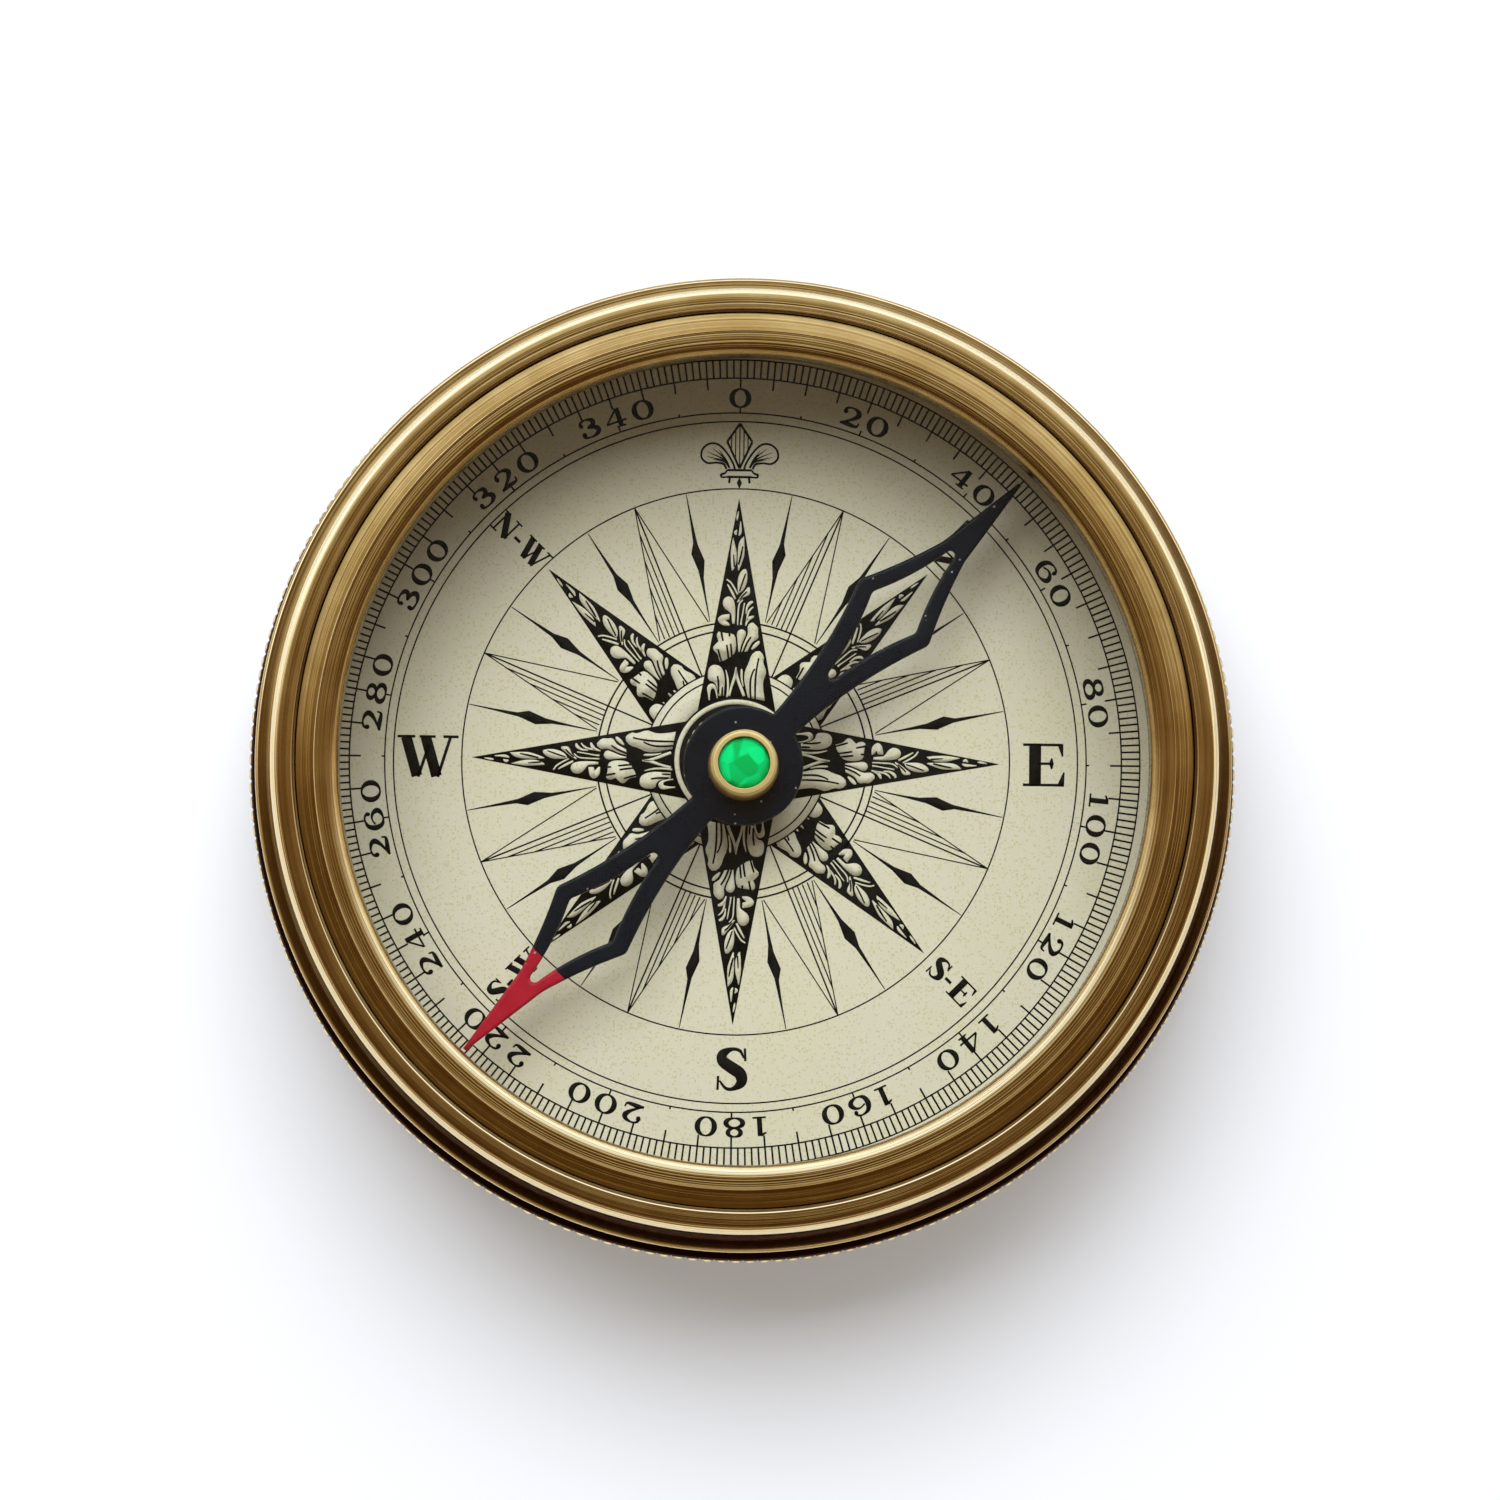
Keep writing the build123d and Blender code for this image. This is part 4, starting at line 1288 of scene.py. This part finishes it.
stems = (
    ((4.70, 2.13, 0.05), (5.15, 2.16, 0.09), (5.65, 2.14, 0.20), (5.80, 1.92, 0.22), (5.62, 1.68, 0.10),
     (5.20, 1.56, 0.06), (4.85, 1.52, 0.04)),
    ((4.95, 0.76, 0.08), (5.60, 0.69, 0.08), (6.40, 0.72, 0.08), (7.10, 0.88, 0.03)),
    ((5.05, 0.60, 0.11), (5.70, 0.44, 0.10), (6.30, 0.25, 0.12), (6.70, 0.13, 0.12), (7.30, 0.08, 0.05)),
    ((5.05, -0.57, 0.12), (5.60, -0.36, 0.13), (6.20, -0.12, 0.12), (6.70, 0.02, 0.10), (7.20, 0.06, 0.04)),
    ((5.80, -0.50, 0.04), (6.40, -0.38, 0.08), (7.00, -0.36, 0.09), (7.18, -0.35, 0.04)),
    ((8.72, -1.12, 0.06), (9.00, -1.38, 0.16), (9.25, -1.62, 0.14), (9.36, -1.72, 0.05)),
    ((10.60, 0.00, 0.05), (11.40, -0.03, 0.06), (12.20, -0.10, 0.06), (12.60, -0.38, 0.05)),
    ((10.62, -0.26, 0.09), (10.90, -0.28, 0.06), (11.60, -0.40, 0.05), (12.35, -0.52, 0.05)),
    ((10.55, -0.62, 0.05), (11.00, -0.78, 0.12), (11.20, -1.00, 0.14), (11.30, -1.26, 0.07)),
    ((11.00, -0.72, 0.08), (11.50, -0.80, 0.08), (11.85, -0.98, 0.08), (12.05, -1.22, 0.04)),
    ((11.50, -0.66, 0.05), (12.00, -0.72, 0.09), (12.35, -0.95, 0.13), (12.45, -1.18, 0.08)),
    ((12.65, 0.20, 0.08), (13.20, 0.48, 0.10), (13.80, 0.82, 0.05)),
    ((13.00, 0.02, 0.06), (13.50, 0.28, 0.07), (13.95, 0.58, 0.07), (14.18, 0.90, 0.06)),
    ((17.68, 0.18, 0.05), (17.88, 0.26, 0.13), (18.08, 0.14, 0.04)),
    ((17.62, -0.02, 0.05), (17.90, -0.12, 0.12), (18.30, -0.14, 0.09), (18.75, -0.14, 0.03)),
    ((18.82, 0.15, 0.03), (19.05, 0.12, 0.09), (19.30, 0.08, 0.07), (19.55, 0.03, 0.03)),
)
veins = (
    ((5.20, 1.42, 0.05), (6.00, 1.43, 0.06), (6.60, 1.51, 0.05)),
    ((5.00, 1.14, 0.05), (5.40, 1.13, 0.06), (5.75, 1.12, 0.04)),
    ((4.85, -1.10, 0.05), (5.50, -1.05, 0.06), (6.30, -1.06, 0.06), (6.90, -1.22, 0.05),
     (7.20, -1.38, 0.05)),
    ((4.70, -1.44, 0.05), (5.80, -1.43, 0.06), (6.80, -1.48, 0.06), (7.50, -1.58, 0.05),
     (8.05, -1.69, 0.05)),
    ((7.70, 1.22, 0.05), (8.20, 1.36, 0.06), (8.70, 1.51, 0.05)),
    ((7.90, 0.67, 0.05), (8.50, 0.74, 0.06), (9.05, 0.83, 0.05)),
    ((8.05, 0.40, 0.05), (8.60, 0.46, 0.06), (9.15, 0.52, 0.05)),
    ((9.35, 1.12, 0.05), (9.75, 1.20, 0.06), (10.15, 1.28, 0.06)),
    ((9.70, 0.62, 0.05), (9.90, 0.62, 0.06), (10.08, 0.62, 0.06)),
    ((8.50, -0.46, 0.06), (9.20, -0.75, 0.06), (9.70, -1.06, 0.05)),
    ((12.60, -0.12, 0.04), (13.00, -0.45, 0.05), (13.25, -0.72, 0.04)),
    ((13.25, -0.12, 0.04), (13.90, -0.32, 0.05), (14.65, -0.58, 0.04)),
    ((15.15, 0.30, 0.05), (15.60, 0.34, 0.05), (16.15, 0.38, 0.03)),
    ((15.35, -0.02, 0.05), (16.00, -0.18, 0.06), (16.80, -0.34, 0.04)),
)
print("ornament:", len(leaves), "leaves,", len(stems), "stems and", len(veins), "veins")

# %% Rose: leaf strokes
leaf_sheet = []


def even_edge(knots, count=14):
    """A smooth line through knots, read at equal steps of its length."""
    line = flow(knots, 5)
    run = np.concatenate([[0.0], np.cumsum(np.hypot(*np.diff(line, axis=0).T))])
    return np.stack([np.interp(np.linspace(0.0, run[-1], count), run, column) for column in line.T], 1)


def leaf_run(bearing, stretch, level):
    """Draws the ornament along a bearing, stretched by a factor, from a level of the print upwards."""
    axes = np.stack([at(bearing, 1.0), at(bearing - 90.0, 1.0)]) * stretch
    for left_edge, right_edge in leaves:
        leaf_sheet.append((even_edge(left_edge) @ axes, even_edge(right_edge) @ axes, level, False))
    for sheet, strokes, rise, weight in ((leaf_sheet, stems, 0.0, 0.9), (rose_sheet, veins, 0.5, 1.35)):
        for knots in strokes:
            curve = flow(knots, 4)
            draw(sheet, curve[:, :2] @ axes, curve[:, 2] * weight, level + rise)


for first, stretch, level in ((0, 1.0, 4.0), (45, half_tip / main_tip, 1.4)):
    for bearing in range(first, 360, 90):
        leaf_run(bearing, stretch, level)
print("leaves:", len(leaf_sheet), "strips and stems")

# %% [markdown]
# In the middle, under the needle, a plain ring and a twisted cord close the rose. The cord is a row of
# slanting strokes, each fat in the middle, on a black band.

# %% Rose: middle
rope_strands = 30
band_turn = -np.linspace(0.0, 360.0, 160, endpoint=False)
for sheet, radius, half_width, level in (
    (leaf_sheet, 5.74, 1.28, 2.2),
    (rose_sheet, 4.0, 0.93, 12.0),
    (leaf_sheet, 4.595, 0.185, 13.0),
):
    draw(sheet, at(band_turn, radius), half_width, level, True)
for strand in np.arange(rope_strands) * 360.0 / rope_strands:
    twist = flow([
        (*at(strand - 6.0, 3.42), 0.05),
        (*at(strand - 1.5, 3.60), 0.21),
        (*at(strand + 1.5, 3.80), 0.21),
        (*at(strand + 6.0, 3.98), 0.05),
    ], 4)
    draw(leaf_sheet, twist[:, :2], twist[:, 2], 13.0)
print_sheet("printed_rose", rose_sheet, black_ink)
print_sheet("printed_leaves", leaf_sheet, dial_paper)

# %% [markdown]
# The needle is thin sheet under thick paint, so its flat faces roll over softly at every edge. Each arm
# is a grid: one parameter runs along it, the other from the slot's edge to the outer edge. The height
# of a point falls off by its true distance to the nearest edge, along a quarter circle.

# %% Needle outline
needle_bearing = 44.4
hub_radius = 4.62
half_length = 30.5
neck_half = 1.15
elbow_half = 3.72
tip_base_half = 1.17
slot_start = 9.52
slot_end = 23.2
slot_end_half = 0.3
slot_round = 0.35
bar_width = 1.4
elbow = slot_start + 0.52 * (slot_end - slot_start)
paint_round = 0.26


def bowed(start, end, sag, steps=40):
    """A shallow arc between two points: the chord plus a parabola of the given height to its left."""
    t = np.linspace(0.0, 1.0, steps)[:, None]
    start, end = np.array(start), np.array(end)
    chord = (end - start) / np.hypot(*(end - start))
    return start + t * (end - start) + 4 * sag * t * (1 - t) * np.array([-chord[1], chord[0]])


def eased(along, across, reach):
    """The same edge with its corners eased: a running mean of the width over a short reach."""
    fine = np.linspace(along[0], along[-1], 1200)
    width = np.interp(fine, along, across)
    count = max(int(reach / (fine[1] - fine[0])) // 2 * 2 + 1, 3)
    padded = np.pad(width, count // 2, mode="edge")
    return fine, np.convolve(padded, np.ones(count) / count, mode="valid")


outer_edge = np.vstack([
    bowed((hub_radius, neck_half), (elbow, elbow_half), -0.45),
    bowed((elbow, elbow_half), (slot_end, tip_base_half), -0.15)[1:],
    bowed((slot_end, tip_base_half), (half_length, 0.14), 0.0, 20)[1:],
])
slot_edge = np.vstack([
    bowed((slot_start, slot_end_half), (elbow, elbow_half - bar_width), -0.27),
    bowed((elbow, elbow_half - bar_width), (slot_end, slot_end_half), -0.27)[1:],
])
outer_run, outer_half = eased(*outer_edge.T, 0.6)
slot_run, slot_half = eased(*slot_edge.T, 0.5)
for from_end in (slot_run - slot_start, slot_end - slot_run):
    short_of = 1 - np.clip(from_end / slot_round, 0, 1)
    slot_half = slot_half * np.sqrt(np.clip(1 - short_of**2, 0, 1))
print("needle", half_length * 2, "mm long, slot", round(slot_end - slot_start, 2), "mm")

# %% Needle arms
near_ends = 0.5 - 0.5 * np.cos(np.linspace(0.0, math.pi, 90))
stations = np.concatenate([
    np.linspace(3.9, slot_start, 40)[:-1],
    slot_start + (slot_end - slot_start) * near_ends,
    np.linspace(slot_end, half_length, 40)[1:],
])
outer_at = np.interp(stations, outer_run, outer_half)
outer_at = np.where(stations < hub_radius, neck_half, outer_at)
inner_at = np.interp(stations, slot_run, slot_half, 0.0, 0.0)
crosswise = 0.5 - 0.5 * np.cos(np.linspace(0.0, math.pi, 15))
along_grid = np.broadcast_to(stations[:, None], (len(stations), len(crosswise)))
across_grid = inner_at[:, None] + (outer_at - inner_at)[:, None] * crosswise
edge_points = np.vstack([
    np.stack([outer_run, outer_half], 1)[::3],
    np.stack([slot_run, slot_half], 1)[::2],
    [[half_length, 0.0]],
])
spot = np.stack([along_grid, across_grid], -1).reshape(-1, 1, 2)
gap = np.sqrt(((spot - edge_points[None]) ** 2).sum(-1)).min(1).reshape(along_grid.shape)
sunk = paint_round - np.clip(gap, 0.0, paint_round)
drop = paint_round - np.sqrt(np.clip(paint_round**2 - sunk**2, 0.0, None))
drop[:, -1] = paint_round
drop[inner_at > 0, 0] = paint_round
print("arm grid:", drop.shape, "points")

# %% Needle mesh
hub_bore = 1.93
middle_level = 0.5 * (blade_bottom + blade_top)
half_sheet = 0.5 * (blade_top - blade_bottom) - 0.004


def arm(flip, half_turn):
    """Points and faces of half an arm: an upper and a lower grid, walls at the edges, and end faces."""
    rise = np.maximum(half_sheet - drop, 0.02)
    heights = (middle_level + rise, middle_level - rise)
    sheets = np.stack([np.stack([along_grid, across_grid * flip, height], -1) for height in heights])
    points = sheets.reshape(-1, 3) * np.array([half_turn, half_turn, 1.0])
    rows, columns = along_grid.shape
    upper = np.arange(rows * columns).reshape(rows, columns)
    lower = upper + rows * columns
    walled = (inner_at[:-1] > 0) | (inner_at[1:] > 0)
    inner_wall = np.stack([upper[:-1, 0], lower[:-1, 0], lower[1:, 0], upper[1:, 0]], -1)
    faces = [
        np.stack([upper[:-1, :-1], upper[1:, :-1], upper[1:, 1:], upper[:-1, 1:]], -1).reshape(-1, 4),
        np.stack([lower[:-1, :-1], lower[:-1, 1:], lower[1:, 1:], lower[1:, :-1]], -1).reshape(-1, 4),
        np.stack([upper[:-1, -1], upper[1:, -1], lower[1:, -1], lower[:-1, -1]], -1),
        inner_wall[walled],
        np.stack([upper[0, :-1], upper[0, 1:], lower[0, 1:], lower[0, :-1]], -1),
        np.stack([upper[-1, :-1], lower[-1, :-1], lower[-1, 1:], upper[-1, 1:]], -1),
    ]
    faces = np.vstack(faces)
    return points, faces if flip > 0 else faces[:, ::-1]


hub_corners = [
    (hub_bore, blade_bottom, 0, 0.0),
    (hub_radius, blade_bottom, paint_round, 0.0),
    (hub_radius, blade_top, paint_round, 0.0),
    (hub_bore, blade_top, 0, 0.0),
]
hub_points, hub_faces, _ = turned(softened(hub_corners, 7), 128)
turn = math.radians(needle_bearing)
needle_axis = (math.sin(turn), math.cos(turn), 0.0)
to_card = np.array([needle_axis, (-math.cos(turn), math.sin(turn), 0.0), (0.0, 0.0, 1.0)])
blade_parts = [(hub_points, hub_faces)]
blade_parts += [arm(flip, half_turn) for half_turn in (1.0, -1.0) for flip in (1.0, -1.0)]
blade_points = np.vstack([points @ to_card for points, _ in blade_parts])
offsets = np.cumsum([0] + [len(points) for points, _ in blade_parts[:-1]])
blade_faces = np.vstack([faces + offset for (_, faces), offset in zip(blade_parts, offsets)])
blade = put_mesh("painted_needle", blade_points, blade_faces, smooth=50.0)
print("needle mesh:", len(blade_faces), "faces")

# %% [markdown]
# The paint is a soft black with dust settled in it, and one tip is dipped in red. The change of colour
# follows the distance along the needle, taken from Object coordinates: the point's place times the
# needle's own direction.

# %% Needle paint
red_from = 21.3
needle_paint, tree, shader = new_finish("needle_paint", {"Specular IOR Level": 0.3})
where = place(tree, "ShaderNodeTexCoord").outputs["Object"]
along = vector_of(tree, "DOT_PRODUCT", where, needle_axis)["Value"]
dipped = math_of(tree, "LESS_THAN", along, -red_from * mm)
dust = group_in(tree, specks, Scale=1500.0, Size=0.13, Share=0.16)["Mask"]
sheen = group_in(tree, blotches, Scale=420.0, Low=0.35, High=0.7)["Mask"]
black = mix_of(tree, sheen, (0.005, 0.007, 0.011), (0.007, 0.010, 0.015))
red = mix_of(tree, sheen, (0.38, 0.012, 0.026), (0.46, 0.018, 0.034))
colour = mix_of(tree, dipped, black, red)
dusted = mix_of(tree, dust, colour, (0.30, 0.30, 0.30))
paint_height = group_in(tree, blotches, Scale=1100.0, Low=0.2, High=0.8)["Mask"]
paint_bump = bump_of(tree, 0.012, 0.00005, paint_height)
wire(tree, shader, dusted, spread_of(tree, sheen, -3.0, 16.0), paint_bump)
dress(blade, needle_paint, "needle", "needle_paint", "needle_blade")

# %% [markdown]
# The cap stands over the pivot: a small turned brass cone with a green stone set in its top. The stone
# is cut: a flat table, a row of bevelled facets round it, and a plain rim under the brass. Its faces
# stay flat, so it is one ring grid with few segments and no smoothing.

# %% Cap
cap_bottom, cap_top = height_of("needle_cap")
stone_bottom, stone_top = height_of("cap_jewel")
cap_foot = 2.73
cap_shank = 1.9
stone_seat = 2.0
cap_corners = [
    (1.3, cap_bottom, 0, 0.4),
    (cap_shank, cap_bottom, 0, 0.4),
    (cap_shank, blade_top, 0, 0.6),
    (cap_foot, blade_top, 0, 0.8),
    (cap_foot - 0.2, cap_top - 0.2, 0.12, 0.0),
    (cap_foot - 0.4, cap_top, 0.10, 0.0),
    (stone_seat, cap_top, 0.05, 0.0),
    (stone_seat, stone_bottom, 0, 0.5),
    (1.0, stone_bottom, 0, 0.4),
]
cap = put_mesh("turned_cap", *turned(softened(cap_corners, 5), 128))
dress(cap, plain_brass, "needle", "plain_brass", "needle_cap")

# %% Green stone
stone_radius = radius_of("cap_jewel")
facets = 16
stone_rows = np.array([
    (0.0, stone_bottom + 0.45, 0, 0),
    (0.6, stone_bottom, 0, 0),
    (stone_radius, stone_bottom, 0, 0),
    (stone_radius, stone_top - 0.32, 0, 0),
    (1.55, stone_top - 0.14, 0, 0),
    (0.95, stone_top, 0, 0),
    (0.0, stone_top, 0, 0),
])


def stone_radii(around):
    """Profile radius, with every second point of the two crown rows drawn in, which cuts kite facets."""
    radius = np.broadcast_to(stone_rows[:, 0], (len(around), len(stone_rows))).copy()
    radius[1::2, 4] *= 0.93
    radius[0::2, 5] *= 0.90
    return radius


stone_points, stone_faces, _ = turned(stone_rows, facets, stone_radii)
stone = put_mesh("cut_stone", stone_points, stone_faces, smooth=None)
green_stone, tree, shader = new_finish("green_stone", {"Specular IOR Level": 0.1})
where = place(tree, "ShaderNodeTexCoord").outputs["Object"]
# Lighter and darker green patches, in Voronoi cells, are painted reflections of the facets inside the
# stone.
cells = {"Vector": where, "Scale": 900.0, "Smoothness": 0.25}
painted_facet_light = place(tree, "ShaderNodeTexVoronoi", {"feature": "SMOOTH_F1"}, cells).outputs["Color"]
facet_light_tone = place(tree, "ShaderNodeSeparateColor", None, {0: painted_facet_light}).outputs[0]
greens = mix_of(tree, facet_light_tone, (0.0, 0.34, 0.05), (0.0, 0.80, 0.22))
wire(tree, shader, greens, spread_of(tree, facet_light_tone, -3.0, 6.0))
dress(stone, green_stone, "needle", "green_jewel", "cap_jewel")

# %% [markdown]
# What is left are the small solids that hold things together: the plate under the card, the snap ring,
# the pivot and its nut. They keep their CAD mesh, because a flat or a plain round is right for them,
# and take brass or steel.

# %% Small solids
pivot_steel, tree, shader = new_finish("pivot_steel", {"Metallic": 1.0})
polish = group_in(tree, turned_rings, Fineness=14000.0)
steel = mix_of(tree, polish["Tint"], (0.36, 0.36, 0.38), (0.52, 0.52, 0.54))
wire(tree, shader, steel, spread_of(tree, polish["Height"], -1.0, 3.5))
for node in ("dial_plate", "dial_snap_ring", "pivot_post", "pivot_washer", "pivot_nut", "needle_collar"):
    refinish(node, plain_brass)
refinish("pivot_pin", pivot_steel)
